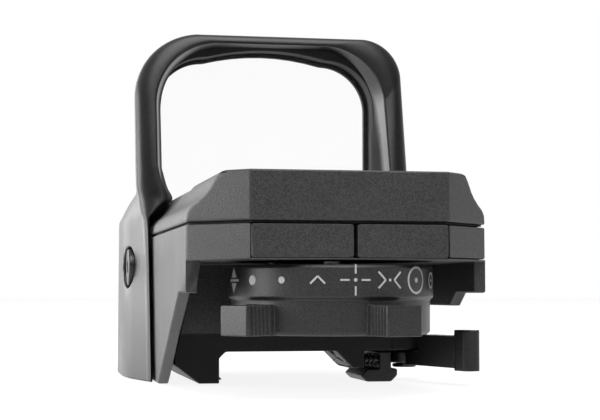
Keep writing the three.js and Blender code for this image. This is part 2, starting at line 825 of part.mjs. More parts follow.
function batteryContactSide() {
  const right = tray.cellX - cell.radius - sliding;
  const low = body.lipBottom + body.floor + seat;
  const bottom = low + sliding + tray.floor + seat;
  const start = tray.cellY - contactSide.width / 2;
  const end = tray.cellY + contactSide.width / 2;
  const leaf = block(
    right - contactSide.thickness, right, start, end, bottom, bottom + contactSide.height,
  );
  const back = tray.cornerLeft - air - contactSide.thickness;
  const bridge = block(
    back, right, start, end, bottom + contactSide.height - contactSide.thickness,
    bottom + contactSide.height,
  );
  const post = block(back, back + contactSide.thickness, start, end, low, bottom + contactSide.height);
  const foot = block(
    back - contactSide.footLength, back + contactSide.thickness, start, end,
    low, low + contactSide.footHeight,
  );
  return joined(leaf, bridge, post, foot);
}

// The selector drum and what turns with it. The drum is built about its own axis.

function lugPlan() {
  const side = lug.width / 2;
  const rootX = drum.radius - lug.root;
  const points = [[rootX, -side], [lug.reach - lug.edge, -side], [lug.reach, -side + lug.edge]];
  points.push([lug.reach, side - lug.edge]);
  points.push([lug.reach - lug.edge, side]);
  const start = lug.reach - lug.edge - (lug.reach - drum.radius) * lug.plainShare;
  const pitch = (start - drum.radius) / lug.ribs;
  for (let i = 0; i < lug.ribs; i += 1) {
    points.push([start - i * pitch, side]);
    points.push([start - (i + 0.5) * pitch, side - lug.ribDepth]);
  }
  points.push([drum.radius, side]);
  points.push([rootX, side]);
  return outline(points);
}

// Angles on the drum are counted from straight back, positive to the viewer's right
function polar(radius, degrees) {
  const angle = THREE.MathUtils.degToRad(degrees);
  return [radius * Math.sin(angle), -radius * Math.cos(angle)];
}

function selectorDrum() {
  const bore = spindle.radius + seat;
  const waist = drum.radius - drum.waist;
  const groove = drum.top - drum.grooveDepth;
  const wheel = turned([
    [bore, drum.hubBottom], [drum.hubRadius, drum.hubBottom], [drum.hubRadius, drum.recessTop],
    [drum.recessRadius, drum.recessTop], [drum.recessRadius, drum.bottom],
    [waist - drum.edge, drum.bottom], [waist, drum.bottom + drum.edge],
    [waist, drum.waistTop], [drum.radius, drum.waistTop + drum.edge],
    [drum.radius, drum.top - drum.edge], [drum.radius - drum.edge, drum.top],
    [drum.grooveRadius + drum.grooveHalf, drum.top], [drum.grooveRadius + drum.grooveHalf, groove],
    [drum.grooveRadius - drum.grooveHalf, groove], [drum.grooveRadius - drum.grooveHalf, drum.top],
    [drum.washerSeatRadius, drum.top], [drum.washerSeatRadius, drum.washerSeat],
    [bore, drum.washerSeat], [bore, drum.hubBottom],
  ], turnedSides);
  const lugs = [-1, 1].map((side) => {
    let shape = raised(lugPlan(), drum.bottom, drum.bottom + lug.height);
    if (side > 0) shape = shape.mirror([0, 1, 0]);
    return shape.rotate([0, 0, side * lug.spread - 90]);
  });
  const ballAngle = THREE.MathUtils.radToDeg(Math.atan2(detent.x, -(detentY() - drum.y)));
  const dimples = [];
  for (let i = 0; i < drum.marks; i += 1) {
    const mark = drum.firstMark + i * drum.markPitch;
    const [x, y] = polar(drum.grooveRadius, ballAngle + mark);
    dimples.push(pinZ(drum.dimpleRadius, x, y, groove - drum.dimpleDepth, drum.top, 10));
  }
  return cut(joined(wheel, ...lugs), ...dimples);
}

function drumSpindle() {
  return turned([
    [spindle.boreRadius, drum.hubBottom + seat], [spindle.radius, drum.hubBottom + seat],
    [spindle.radius, spindle.top], [0, spindle.top], [0, spindle.boreTop],
    [spindle.boreRadius, spindle.boreTop], [spindle.boreRadius, drum.hubBottom + seat],
  ]);
}

function drumScrewSolid() {
  const headTop = drum.hubBottom - seat;
  const upright = screw(drumScrew, -headTop, -headTop + drumScrew.headHeight, -headTop - drumScrew.reach);
  return upright.rotate([180, 0, 0]);
}

function switchRotor() {
  const low = boardTop() + rotor.above;
  const disc = cut(
    pinZ(rotor.radius, 0, 0, low, low + rotor.thickness, 36),
    pinZ(spindle.radius + seat, 0, 0, low - overrun, low + rotor.thickness + overrun),
  );
  const wipers = [0, 180].map((degrees) => {
    const [x, y] = polar(rotor.wiperRadius, degrees);
    return pinZ(rotor.wiperSize, x, y, boardTop() + seat, low + seat, 12);
  });
  return joined(disc, ...wipers);
}

function spindleBush() {
  const bore = spindle.radius + running;
  const high = body.lipBottom + body.floor;
  return turned([
    [bore, body.lipBottom], [bush.radius, body.lipBottom], [bush.radius, high],
    [bore, high], [bore, body.lipBottom],
  ]).translate([0, drum.y, 0]);
}

function spindleSealSolid() {
  const ring = new THREE.TorusGeometry(
    spindle.radius + running + spindleSeal.section, spindleSeal.section, spindleSeal.sides, roundSides,
  );
  const z = body.lipBottom + body.floor + seat + spindleSeal.section;
  return solid(ring.translate(0, drum.y, z));
}

// A spring washer: a thin ring that rises and falls three times round
function waveWasher() {
  const flat = (drum.washerSeat + body.lipBottom) / 2;
  const positions = [];
  const index = [];
  for (let i = 0; i < washer.steps; i += 1) {
    const turn = (i / washer.steps) * Math.PI * 2;
    const lift = flat + washer.wave * Math.sin(washer.waves * turn);
    for (const [radius, z] of [
      [washer.inner, lift - washer.thickness / 2], [washer.outer, lift - washer.thickness / 2],
      [washer.outer, lift + washer.thickness / 2], [washer.inner, lift + washer.thickness / 2],
    ]) {
      positions.push(radius * Math.cos(turn), drum.y + radius * Math.sin(turn), z);
    }
  }
  for (let i = 0; i < washer.steps; i += 1) {
    const a = i * 4;
    const b = ((i + 1) % washer.steps) * 4;
    for (let k = 0; k < 4; k += 1) {
      const next = (k + 1) % 4;
      index.push(a + k, a + next, b + next, a + k, b + next, b + k);
    }
  }
  const geometry = new THREE.BufferGeometry();
  geometry.setAttribute('position', new THREE.Float32BufferAttribute(positions, 3));
  geometry.setIndex(index);
  return solid(geometry);
}

function detentY() {
  return drum.y + Math.sqrt(drum.grooveRadius ** 2 - detent.x ** 2);
}

function ballZ() {
  return drum.top - drum.grooveDepth + running + detent.ballRadius;
}

function detentBall() {
  const ball = new THREE.SphereGeometry(detent.ballRadius, detent.ballSides, detent.ballSides / 2);
  return solid(ball.rotateX(Math.PI / 2).translate(detent.x, detentY(), ballZ()));
}

function detentSpring() {
  const low = ballZ() + detent.ballRadius + seat;
  const high = detent.bossTop - body.floor - seat;
  const outer = pinZ(detent.springRadius, detent.x, detentY(), low, high, 12);
  const inner = pinZ(
    detent.springRadius - detent.springWire, detent.x, detentY(), low - overrun, high + overrun, 12,
  );
  return cut(outer, inner);
}

// The electronics over the drum

function boardTop() {
  return board.bottom + board.thickness;
}

function mainBoard() {
  const plate = raised(bodyPlan(cover.hollowWall + air, board.end), board.bottom, boardTop());
  const trimmed = cut(
    plate,
    block(-half, half, -overrun, board.start, board.bottom - overrun, boardTop() + overrun),
    pinZ(spindle.radius + air, 0, drum.y, board.bottom - overrun, boardTop() + overrun),
  );
  const bossCuts = [-1, 1].map((side) => pinZ(
    cover.bossRadius + air, side * coverScrew.rearX, coverScrew.rearY,
    board.bottom - overrun, boardTop() + overrun,
  ));
  const screwCuts = [-1, 1].map((side) => pinZ(
    boardScrew.shankRadius + boardScrew.holeExtra, side * board.screwX, board.screwY,
    board.bottom - overrun, boardTop() + overrun, 12,
  ));
  return cut(trimmed, ...bossCuts, ...screwCuts);
}

function boardScrewSolid(side) {
  const headHigh = board.bottom - seat;
  return joined(
    pinZ(boardScrew.headRadius, 0, 0, headHigh - boardScrew.headHeight, headHigh, 16),
    pinZ(boardScrew.shankRadius, 0, 0, headHigh - seat, boardTop() + boardScrew.reach - seat, 12),
  ).translate([side * board.screwX, board.screwY, 0]);
}

// The emitter and its two adjustment stages

function windageCarriage() {
  const wide = carriage.halfWidth;
  const whole = block(-wide, wide, carriage.rear, carriage.front, carriage.bottom, carriage.top);
  const bay = block(
    -wide - overrun, wide + overrun, carriage.rear + carriage.block, carriage.front + overrun,
    carriage.bottom + carriage.arm, carriage.top - carriage.arm,
  );
  const screwBore = pinX(
    windageScrew.shankRadius + running, carriage.screwY, carriage.screwZ,
    windageScrew.tip - carriage.travel - sliding, wide + overrun,
  );
  const pinBore = pinX(
    guidePin.radius + running, carriage.screwY, carriage.screwZ,
    -wide - overrun, guidePin.right + carriage.travel + sliding,
  );
  const neckHole = pinZ(
    elevation.neckRadius + running, 0, elevation.y, carriage.top - carriage.arm - overrun, carriage.top + overrun,
  );
  return cut(whole, bay, screwBore, pinBore, neckHole);
}

function windageScrewSolid() {
  const head = pinX(
    windageScrew.headRadius, 0, 0, windageScrew.headX - windageScrew.headLength, windageScrew.headX,
  );
  const shank = pinX(windageScrew.shankRadius, 0, 0, windageScrew.tip, windageScrew.headX - seat);
  const slot = block(
    windageScrew.headX - windageScrew.slotDepth, windageScrew.headX + overrun,
    -windageScrew.slotWidth / 2, windageScrew.slotWidth / 2,
    -windageScrew.headRadius - overrun, windageScrew.headRadius + overrun,
  );
  return cut(joined(head, shank), slot);
}

function elevationScrewSolid() {
  const head = pinZ(elevation.headRadius, 0, 0, elevation.headBottom, elevation.headTop);
  const neck = pinZ(elevation.neckRadius, 0, 0, elevation.neckBottom, elevation.headBottom + seat, 16);
  const slot = block(
    -elevation.headRadius - overrun, elevation.headRadius + overrun,
    -elevation.slotWidth / 2, elevation.slotWidth / 2,
    elevation.headTop - elevation.slotDepth, elevation.headTop + overrun,
  );
  return cut(joined(head, neck), slot);
}

function elevationCarriage() {
  const whole = block(
    -elevation.halfWidth, elevation.halfWidth, elevation.rear, elevation.front,
    elevation.bottom, elevation.top,
  );
  const bore = pinZ(
    elevation.neckRadius + running, 0, elevation.y,
    elevation.neckBottom - elevation.travel - sliding, elevation.top + overrun, 16,
  );
  return cut(whole, bore);
}

function carriageGuidePin() {
  return pinX(guidePin.radius, carriage.screwY, carriage.screwZ, guidePin.left, guidePin.right);
}

function windageSpringSolid() {
  return sleeveX(
    windageSpring.inner, windageSpring.outer, carriage.screwY, carriage.screwZ,
    cover.stageBossLength - cover.hollowHalf + seat, -carriage.halfWidth - windageSpring.gap, roundSides,
  );
}

// The hood: one loop of points at each station along the arch, joined into a skin

function rimDepth(z) {
  return hood.rimFoot + hood.rake * (z - hood.footZ);
}

function archPoint(arch, angle) {
  const centreX = arch.half - arch.corner;
  const centreZ = arch.top - arch.corner;
  return [centreX + arch.corner * Math.cos(angle), centreZ + arch.corner * Math.sin(angle)];
}

// Heights of the stations on the flanks, and each line's half width there
function flankStations(foot) {
  const shoulder = cover.top - cover.coveTopDrop - cover.coveHeight;
  const low = half + hood.bodyGap;
  const cheek = hood.cheekHalf;
  const cheekFront = hood.cheekFrontHalf;
  const rim = hood.footRimHalf;
  const rise = (hood.half - rim) / 4;
  const slim = (cheek - hood.flankHalf) / 5;
  const slimFront = (cheekFront - hood.frontHalf) / 5;
  const coveTop = cover.top - cover.coveTopDrop;
  const windowLow = cover.frontTop + hood.bodyGap * 2;
  const windowRise = lens.openCorner - hood.bodyGap * 2;
  return [
    { z: foot, inner: low, rim, flank: cheek, front: cheekFront },
    { z: (foot + shoulder) / 2, inner: low, rim, flank: cheek, front: cheekFront },
    { z: shoulder, inner: low, rim: rim + rise, flank: cheek, front: cheekFront },
    {
      z: (shoulder + coveTop) / 2 + hood.bodyGap, inner: cover.coveTopHalf + hood.bodyGap * 6,
      rim: rim + rise * 2, flank: cheek - slim, front: cheekFront - slimFront,
    },
    {
      z: windowLow, inner: hood.ledgeHalf,
      rim: rim + rise * 3, flank: cheek - slim * 3, front: cheekFront - slimFront * 3,
    },
    {
      z: windowLow + windowRise / 4, inner: hood.ledgeHalf + (hood.innerHalf - hood.ledgeHalf) / 2,
      rim: hood.half, flank: hood.flankHalf, front: hood.frontHalf,
    },
    {
      z: windowLow + windowRise / 2 + hood.bodyGap * 4, inner: hood.innerHalf,
      rim: hood.half, flank: hood.flankHalf, front: hood.frontHalf,
    },
  ];
}

function hoodLoop(inner, rim, flank, front, lift) {
  const rimWidth = Math.hypot(rim[0] - inner[0], rim[1] - inner[1]);
  const noseX = rim[0] + (inner[0] - rim[0]) * hood.noseShare;
  const noseZ = rim[1] + (inner[1] - rim[1]) * hood.noseShare;
  const rimY = rimDepth(rim[1]);
  const innerY = rimDepth(inner[1]) + hood.rimSlope * rimWidth;
  const frontY = hood.front - hood.frontRake * (front[1] - hood.footZ);
  return [
    [inner[0], innerY, inner[1]],
    [noseX, rimY, noseZ],
    [rim[0], rimY + hood.noseBack, rim[1]],
    [flank[0], rimY + hood.flankDepth, flank[1] + lift / 2],
    [front[0], frontY, front[1] + lift],
    [inner[0], frontY, inner[1]],
  ];
}

function hoodStations(foot, rimCorner) {
  const stations = flankStations(foot).map((s, i) => hoodLoop(
    [s.inner, s.z], [s.rim, s.z], [s.flank, s.z], [s.front, s.z], i === 0 ? hood.footLift : 0,
  ));
  const arches = [
    { half: hood.innerHalf, top: hood.innerTop, corner: hood.innerCorner },
    { half: hood.half, top: hood.top, corner: rimCorner },
    { half: hood.flankHalf, top: hood.top, corner: (rimCorner + hood.frontCorner) / 2 },
    { half: hood.frontHalf, top: hood.frontTop, corner: hood.frontCorner },
  ];
  for (let i = 0; i <= hood.cornerSteps; i += 1) {
    const angle = (i / hood.cornerSteps) * (Math.PI / 2);
    stations.push(hoodLoop(...arches.map((arch) => archPoint(arch, angle)), 0));
  }
  return stations;
}

function skin(loops) {
  const count = loops[0].length;
  const positions = loops.flat(2);
  const index = [];
  for (let i = 0; i < loops.length - 1; i += 1) {
    for (let k = 0; k < count; k += 1) {
      const a = i * count + k;
      const b = i * count + ((k + 1) % count);
      index.push(a, b, b + count, a, b + count, a + count);
    }
  }
  for (const [loop, start, forwards] of [[loops[0], 0, false], [loops.at(-1), (loops.length - 1) * count, true]]) {
    const flat = loop.map(([x, y]) => new THREE.Vector2(x, y));
    const way = Math.sign(THREE.ShapeUtils.area(flat));
    for (const [a, b, c] of THREE.ShapeUtils.triangulateShape(flat, [])) {
      const same = Math.sign(THREE.ShapeUtils.area([flat[a], flat[b], flat[c]])) === way;
      index.push(start + a, start + (same === forwards ? b : c), start + (same === forwards ? c : b));
    }
  }
  const geometry = new THREE.BufferGeometry();
  geometry.setAttribute('position', new THREE.Float32BufferAttribute(positions, 3));
  geometry.setIndex(index);
  return geometry;
}

function lensHood() {
  const right = hoodStations(hood.rightFootZ, hood.corner);
  const turnedOver = hoodStations(hood.footZ, hood.leftCorner);
  const left = turnedOver.map((loop) => loop.map(([x, y, z]) => [-x, y, z])).reverse();
  const arch = solid(skin([...right, ...left]));
  const recesses = [-1, 1].flatMap((side) => {
    const face = side * hoodScrew.seatX;
    const out = side * (hood.cheekHalf + overrun);
    const inside = side * (half - overrun);
    return [
      pinX(hoodScrew.recessRadius, hoodScrew.y, hoodScrew.z, Math.min(face, out), Math.max(face, out)),
      pinX(hoodScrew.holeRadius, hoodScrew.y, hoodScrew.z, Math.min(inside, out), Math.max(inside, out)),
    ];
  });
  const pocket = forward(
    frameShape(hood.pocketHalf, body.top, hood.pocketTop, hood.pocketCorner, lens.openLowCorner, 0),
    lens.frameRear - air, hood.front + overrun,
  );
  return cut(arch, pocket, ...recesses);
}

function hoodScrewSolid(side) {
  const headLow = hoodScrew.seatX + seat;
  const upright = screw(hoodScrew, headLow, headLow + hoodScrew.headHeight, hoodScrew.inner);
  return upright.rotate([0, 90, 0]).rotate([0, 0, side > 0 ? 0 : 180])
    .translate([0, hoodScrew.y, hoodScrew.z]);
}

// The lens in its frame

// An upright outline with round corners, whose upper edge rises to its middle by a crown
function frameShape(halfWidth, low, top, corner, lowCorner, crown) {
  const shape = new THREE.Shape();
  shape.moveTo(-halfWidth + lowCorner, low);
  shape.lineTo(halfWidth - lowCorner, low);
  shape.quadraticCurveTo(halfWidth, low, halfWidth, low + lowCorner);
  shape.lineTo(halfWidth, top - crown - corner);
  shape.absarc(halfWidth - corner, top - crown - corner, corner, 0, Math.PI / 2, false);
  shape.quadraticCurveTo(0, top + crown, -halfWidth + corner, top - crown);
  shape.absarc(-halfWidth + corner, top - crown - corner, corner, Math.PI / 2, Math.PI, false);
  shape.lineTo(-halfWidth, low + lowCorner);
  shape.quadraticCurveTo(-halfWidth, low, -halfWidth + lowCorner, low);
  return shape;
}

function lensOpening(grow) {
  return frameShape(
    lens.openHalf + grow, lens.openBottom - grow, lens.openTop + grow,
    lens.openCorner + grow, lens.openLowCorner, lens.crown,
  );
}

function lensFrame() {
  const low = body.top + seat;
  const outer = forward(
    frameShape(lens.frameHalf, low, lens.frameTop, lens.frameCorner, lens.openLowCorner, 0),
    lens.frameRear, lens.frameFront,
  );
  const through = forward(lensOpening(0), lens.frameRear - overrun, lens.frameFront + overrun);
  const bed = forward(lensOpening(lens.seatLip), lens.glassRear, lens.frameFront + overrun);
  return cut(outer, through, bed);
}

function objectiveLens() {
  const start = lens.glassRear + seat;
  return forward(lensOpening(lens.seatLip - seat), start, start + lens.glassThickness);
}

function lensRetainer() {
  const start = lens.glassRear + seat * 2 + lens.glassThickness;
  const end = start + lens.retainer;
  return cut(
    forward(lensOpening(lens.seatLip - seat), start, end),
    forward(lensOpening(-lens.seatLip), start - overrun, end + overrun),
  );
}

function emitterWindowSolid() {
  return block(
    -emitterWindow.halfWidth, emitterWindow.halfWidth,
    cover.hollowFront, cover.hollowFront + emitterWindow.thickness,
    emitterWindow.bottom, emitterWindow.top,
  );
}

// The rail clamp

function baseScrewPlaces() {
  const rearY = base.rear + baseScrew.inset;
  const frontY = base.front - baseScrew.inset;
  return [
    [-baseScrew.x, rearY], [baseScrew.x, rearY],
    [-baseScrew.x, frontY], [baseScrew.x, frontY],
  ];
}

function basePlate() {
  const plate = forward(outline([
    [base.left, base.top], [base.left, base.leftDrop], [base.jawOuter, base.bottom],
    [base.jawInner, base.bottom], [base.jawInner, -base.jawCorner],
    [base.jawInner + base.jawCorner, 0], [base.right, 0], [base.right, base.top],
  ]), base.rear, base.front);
  const hook = forward(outline([
    [base.jawInner - overrun, base.hookTop], [base.jawInner, base.hookTop],
    [base.jawInner + base.hookReach, base.bottom], [base.jawInner - overrun, base.bottom],
  ]), base.rear + base.hookStart, base.front - base.hookShort);
  const rib = forward(outline([
    [base.seatHalf, seat], [base.seatHalf, 0], [base.seatHalf + base.seatDrop, -base.seatDrop],
    [base.ribRight, -base.seatDrop], [base.ribRight, seat],
  ]), base.rear, base.rear + base.ribLength);
  const ear = raised(
    roundedRect(
      base.right - overrun, half + base.earOut, base.rear + base.earStart, base.rear + base.earEnd, overrun / 2,
    ), 0, base.top,
  );
  const whole = joined(plate, hook, rib, ear);
  const screwCuts = baseScrewPlaces().flatMap(([x, y]) => [
    pinZ(
      baseScrew.headRadius + baseScrew.holeExtra, x, y,
      -overrun, baseScrew.sink + baseScrew.headHeight + seat,
    ),
    pinZ(baseScrew.shankRadius + baseScrew.holeExtra, x, y, 0, base.top + overrun),
  ]);
  const pinCuts = jawPinPlaces().map((y) => pinX(
    jawPin.radius + seat, y, jawPin.z, jawPin.left - seat, base.ribRight + overrun, 12,
  ));
  const springCuts = jawPinPlaces().map((y) => pinX(
    jawSpring.outer + sliding, y, jawPin.z, jawSpring.left - seat, base.ribRight + overrun, 16,
  ));
  const leverPinCut = pinZ(leverPin.radius + seat, lever.x, lever.y, -overrun, base.top + overrun);
  return cut(whole, ...screwCuts, ...pinCuts, ...springCuts, leverPinCut);
}

function baseScrewSolid(x, y) {
  const headLow = baseScrew.sink;
  const upright = screw(baseScrew, -headLow - baseScrew.headHeight, -headLow, -baseScrew.reach);
  return upright.rotate([180, 0, 0]).translate([x, y, 0]);
}

function jawPinPlaces() {
  return [base.rear + jawPin.rear, base.rear + jawPin.front];
}

function clampJaw() {
  const shape = outline([
    [jaw.lipLeft, jaw.lipTip], [jaw.lipLeft + jaw.chamfer, base.bottom],
    [jaw.lipRight - jaw.chamfer, base.bottom],
    [jaw.lipRight, base.bottom + jaw.chamfer], [jaw.lipRight, jaw.lipTop],
    [jaw.upRight, jaw.lipTop], [jaw.upRight, jaw.top], [jaw.upLeft, jaw.top],
    [jaw.upLeft, jaw.lipTop], [jaw.lipLeft + jaw.lipSlope, jaw.lipTop],
  ]);
  const pinCuts = jawPinPlaces().map((y) => pinX(
    jawPin.radius + running, y, jawPin.z, jaw.upLeft - overrun, jaw.upRight + overrun, 12,
  ));
  return cut(forward(shape, base.rear + jaw.start, base.rear + jaw.end), ...pinCuts);
}

function jawGuidePin(y) {
  return pinX(jawPin.radius, y, jawPin.z, jawPin.left, jawPin.right, 12);
}

function jawSpringSolid(y) {
  return sleeveX(jawSpring.inner, jawSpring.outer, y, jawPin.z, jawSpring.left, jaw.upLeft - seat, 16);
}

// The lever is built about its pivot, pointing straight back, and its cam grows as it swings
function camPlan() {
  const points = [];
  const grow = THREE.MathUtils.degToRad(lever.swing);
  const rest = THREE.MathUtils.degToRad(180);
  for (let i = 0; i < lever.camSteps; i += 1) {
    const angle = rest - (i / lever.camSteps) * Math.PI * 2;
    const turned = rest - angle;
    const share = turned <= grow ? turned / grow : Math.max(0, 1 - (turned - grow) / (grow / 5));
    const radius = lever.hubRadius + jaw.travel * share;
    points.push([radius * Math.cos(angle), radius * Math.sin(angle)]);
  }
  return outline(points.reverse());
}

function clampLever() {
  const turn = lever.angle;
  const cam = raised(camPlan(), lever.hubBottom, lever.hubTop);
  const neck = block(
    -lever.armHalf, lever.armHalf, -lever.stepOut - overrun, -lever.armStart + overrun,
    lever.armBottom, lever.hubTop,
  );
  const arm = block(
    -lever.armHalf, lever.armHalf, -lever.padReach - overrun, -lever.stepOut,
    lever.armBottom, lever.armTop,
  );
  const fingerPad = raised(
    roundedRect(
      lever.padLeft, lever.padRight, -lever.padReach - lever.padLength, -lever.padReach, lever.padCorner,
    ),
    lever.padBottom, lever.padTop, 4,
  );
  const limb = joined(neck, arm, fingerPad).rotate([0, 0, turn]);
  const bore = pinZ(leverPin.radius + running, 0, 0, lever.hubBottom - overrun, lever.hubTop + overrun);
  return cut(joined(cam, limb), bore);
}

function leverPivotPin() {
  return joined(
    pinZ(leverPin.radius, 0, 0, leverPin.bottom, leverPin.top),
    pinZ(leverPin.headRadius, 0, 0, leverPin.bottom, leverPin.bottom + leverPin.headHeight - sliding),
  );
}

// The assembly

const sight = new THREE.Group();
sight.position.y = -(base.rear + base.front) / 2;

function place(group, name, shape, material) {
  group.add(meshOf(name, shape, material));
}

place(sight, 'main_housing', mainHousing(), blackMetal('housing'));
place(sight, 'top_cover', topCover(), blackMetal('cover'));
place(sight, 'cover_gasket', coverGasket(), dull('cover_gasket', 0x0b0b0b));
coverScrewPlaces().forEach(([x, y], i) => {
  place(sight, `cover_screw_${i + 1}`, coverScrewSolid(x, y), plainMetal('cover_screw', 0x3a3a3a));
});
place(sight, 'button_left', padSolid(-1), blackMetal('button_left', 0x1a1a1b));
place(sight, 'button_right', padSolid(1), blackMetal('button_right', 0x1a1a1b));
place(sight, 'button_seal', buttonSealSolid(), dull('button_seal', 0x101010));
place(sight, 'button_board', buttonBoardSolid(), dull('button_board', 0x14401f, 0.5));
place(sight, 'button_switch_left', buttonSwitchSolid(-1), plainMetal('button_switch'));
place(sight, 'button_switch_right', buttonSwitchSolid(1), plainMetal('button_switch'));
place(sight, 'battery_tray', batteryTray(), blackMetal('battery_tray', 0x202021));
place(sight, 'coin_cell', coinCell(), plainMetal('coin_cell', 0xb9b9b6));
place(sight, 'battery_contact_top', batteryContactTop(), plainMetal('contact', 0xa08a52));
place(sight, 'battery_contact_side', batteryContactSide(), plainMetal('contact', 0xa08a52));

const drumGroup = new THREE.Group();
drumGroup.position.y = drum.y;
drumGroup.rotation.z = THREE.MathUtils.degToRad(drum.restTurn);
sight.add(drumGroup);
place(drumGroup, 'selector_drum', selectorDrum(), blackMetal('drum', 0x1b1b1c));
place(drumGroup, 'drum_spindle', drumSpindle(), plainMetal('spindle'));
place(drumGroup, 'drum_screw', drumScrewSolid(), plainMetal('drum_screw', 0x3a3a3a));
place(drumGroup, 'switch_rotor', switchRotor(), dull('switch_rotor', 0x202020, 0.5));
place(sight, 'spindle_bush', spindleBush(), plainMetal('bush', 0xa9854a));
place(sight, 'spindle_seal', spindleSealSolid(), dull('spindle_seal', 0x0b0b0b));
place(sight, 'wave_washer', waveWasher(), plainMetal('wave_washer'));
place(sight, 'detent_ball', detentBall(), plainMetal('detent_ball', 0xc8c8c8));
place(sight, 'detent_spring', detentSpring(), plainMetal('detent_spring'));

place(sight, 'main_board', mainBoard(), dull('main_board', 0x14401f, 0.5));
place(sight, 'board_screw_left', boardScrewSolid(-1), plainMetal('board_screw'));
place(sight, 'board_screw_right', boardScrewSolid(1), plainMetal('board_screw'));

const windageGroup = new THREE.Group();
windageGroup.position.set(0, carriage.screwY, carriage.screwZ);
sight.add(windageGroup);
place(windageGroup, 'windage_screw', windageScrewSolid(), plainMetal('adjuster', 0x3a3a3a));
place(sight, 'windage_carriage', windageCarriage(), dull('carriage', 0x2b2b2b, 0.5));
place(sight, 'carriage_guide_pin', carriageGuidePin(), plainMetal('guide_pin'));
place(sight, 'windage_spring', windageSpringSolid(), plainMetal('windage_spring'));
const elevationGroup = new THREE.Group();
elevationGroup.position.y = elevation.y;
sight.add(elevationGroup);
place(elevationGroup, 'elevation_screw', elevationScrewSolid(), plainMetal('adjuster', 0x3a3a3a));
place(sight, 'elevation_carriage', elevationCarriage(), dull('carriage', 0x2b2b2b, 0.5));
place(sight, 'led_emitter', block(
  -emitter.halfWidth, emitter.halfWidth, elevation.front + seat, elevation.front + seat + emitter.length,
  emitter.bottom, emitter.top,
), dull('led_emitter', 0x8c1a14, 0.3));
place(sight, 'emitter_window', emitterWindowSolid(), clear('emitter_window', 0xcfd4d6, 0.3));

place(sight, 'lens_hood', lensHood(), blackMetal('hood', 0x19191a));
place(sight, 'hood_screw_left', hoodScrewSolid(-1), plainMetal('hood_screw', 0x2c2c2c));
place(sight, 'hood_screw_right', hoodScrewSolid(1), plainMetal('hood_screw', 0x2c2c2c));
place(sight, 'lens_frame', lensFrame(), blackMetal('lens_frame', 0x141415));
place(sight, 'objective_lens', objectiveLens(), clear('lens', 0xe6e9ea, 0.12));
place(sight, 'lens_retainer', lensRetainer(), blackMetal('lens_retainer', 0x101010));

place(sight, 'base_plate', basePlate(), blackMetal('base', 0x161617));
baseScrewPlaces().forEach(([x, y], i) => {
  place(sight, `base_screw_${i + 1}`, baseScrewSolid(x, y), plainMetal('base_screw', 0x3a3a3a));
});
place(sight, 'clamp_jaw', clampJaw(), blackMetal('jaw', 0x161617));
jawPinPlaces().forEach((y, i) => {
  place(sight, `jaw_guide_pin_${i + 1}`, jawGuidePin(y), plainMetal('jaw_guide_pin'));
  place(sight, `jaw_spring_${i + 1}`, jawSpringSolid(y), plainMetal('jaw_spring'));
});

const leverGroup = new THREE.Group();
leverGroup.position.set(lever.x, lever.y, 0);
sight.add(leverGroup);
place(leverGroup, 'clamp_lever', clampLever(), blackMetal('lever', 0x18181a));
place(leverGroup, 'lever_pivot_pin', leverPivotPin(), plainMetal('pivot_pin', 0x4a4a4a));

export default sight;
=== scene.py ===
# %% [markdown]
# # A rail-mounted reflex sight
# This lesson dresses the fixed CAD model of a small open reflex sight. The solids give every place and
# size, and they already move on their joints. What is added here is what a camera sees: softly broken
# edges, a grained black coating, printed reticle symbols, coiled springs and socket screws.

# %% Load the frame
import json
from math import cos, hypot, pi, radians, sin

import bmesh
import bpy
from mathutils import Matrix, Vector

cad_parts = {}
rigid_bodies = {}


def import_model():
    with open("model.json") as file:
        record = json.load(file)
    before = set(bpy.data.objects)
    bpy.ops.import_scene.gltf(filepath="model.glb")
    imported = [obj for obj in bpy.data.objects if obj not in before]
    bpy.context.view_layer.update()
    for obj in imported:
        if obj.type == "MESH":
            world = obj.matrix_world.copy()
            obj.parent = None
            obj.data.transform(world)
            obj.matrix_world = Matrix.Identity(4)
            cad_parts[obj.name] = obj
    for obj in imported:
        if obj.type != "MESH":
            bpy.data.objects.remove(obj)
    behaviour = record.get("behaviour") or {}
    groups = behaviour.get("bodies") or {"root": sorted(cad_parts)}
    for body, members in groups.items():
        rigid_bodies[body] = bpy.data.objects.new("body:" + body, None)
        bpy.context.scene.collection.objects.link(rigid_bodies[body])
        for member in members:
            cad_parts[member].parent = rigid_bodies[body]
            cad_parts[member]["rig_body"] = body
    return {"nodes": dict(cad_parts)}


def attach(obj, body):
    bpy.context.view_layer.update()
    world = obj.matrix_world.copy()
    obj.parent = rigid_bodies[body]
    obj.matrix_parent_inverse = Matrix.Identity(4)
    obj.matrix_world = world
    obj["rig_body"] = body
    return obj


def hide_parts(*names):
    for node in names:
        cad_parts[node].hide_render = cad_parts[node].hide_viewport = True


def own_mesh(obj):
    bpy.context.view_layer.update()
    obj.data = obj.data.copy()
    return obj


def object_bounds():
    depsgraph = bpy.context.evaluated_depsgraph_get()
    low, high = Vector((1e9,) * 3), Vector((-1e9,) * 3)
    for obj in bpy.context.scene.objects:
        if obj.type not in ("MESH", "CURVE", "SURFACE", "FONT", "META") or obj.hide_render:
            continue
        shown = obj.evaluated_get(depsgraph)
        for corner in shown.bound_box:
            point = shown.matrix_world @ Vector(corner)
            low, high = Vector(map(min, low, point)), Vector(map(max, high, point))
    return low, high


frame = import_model()
cad_box = [list(corner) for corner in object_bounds()]
nodes = frame["nodes"]
print("nodes", len(nodes), "box", cad_box)

# %% Millimetres
MM = 0.001
REAR = -58.5  # the eye-side face lies this far behind the frame's origin


def at(x, depth, z):
    """A point in metres from millimetres right, ahead of the eye-side face, and above the rail."""
    return Vector((x * MM, (depth + REAR) * MM, z * MM))


print("eye-side face at", at(0, 0, 0))

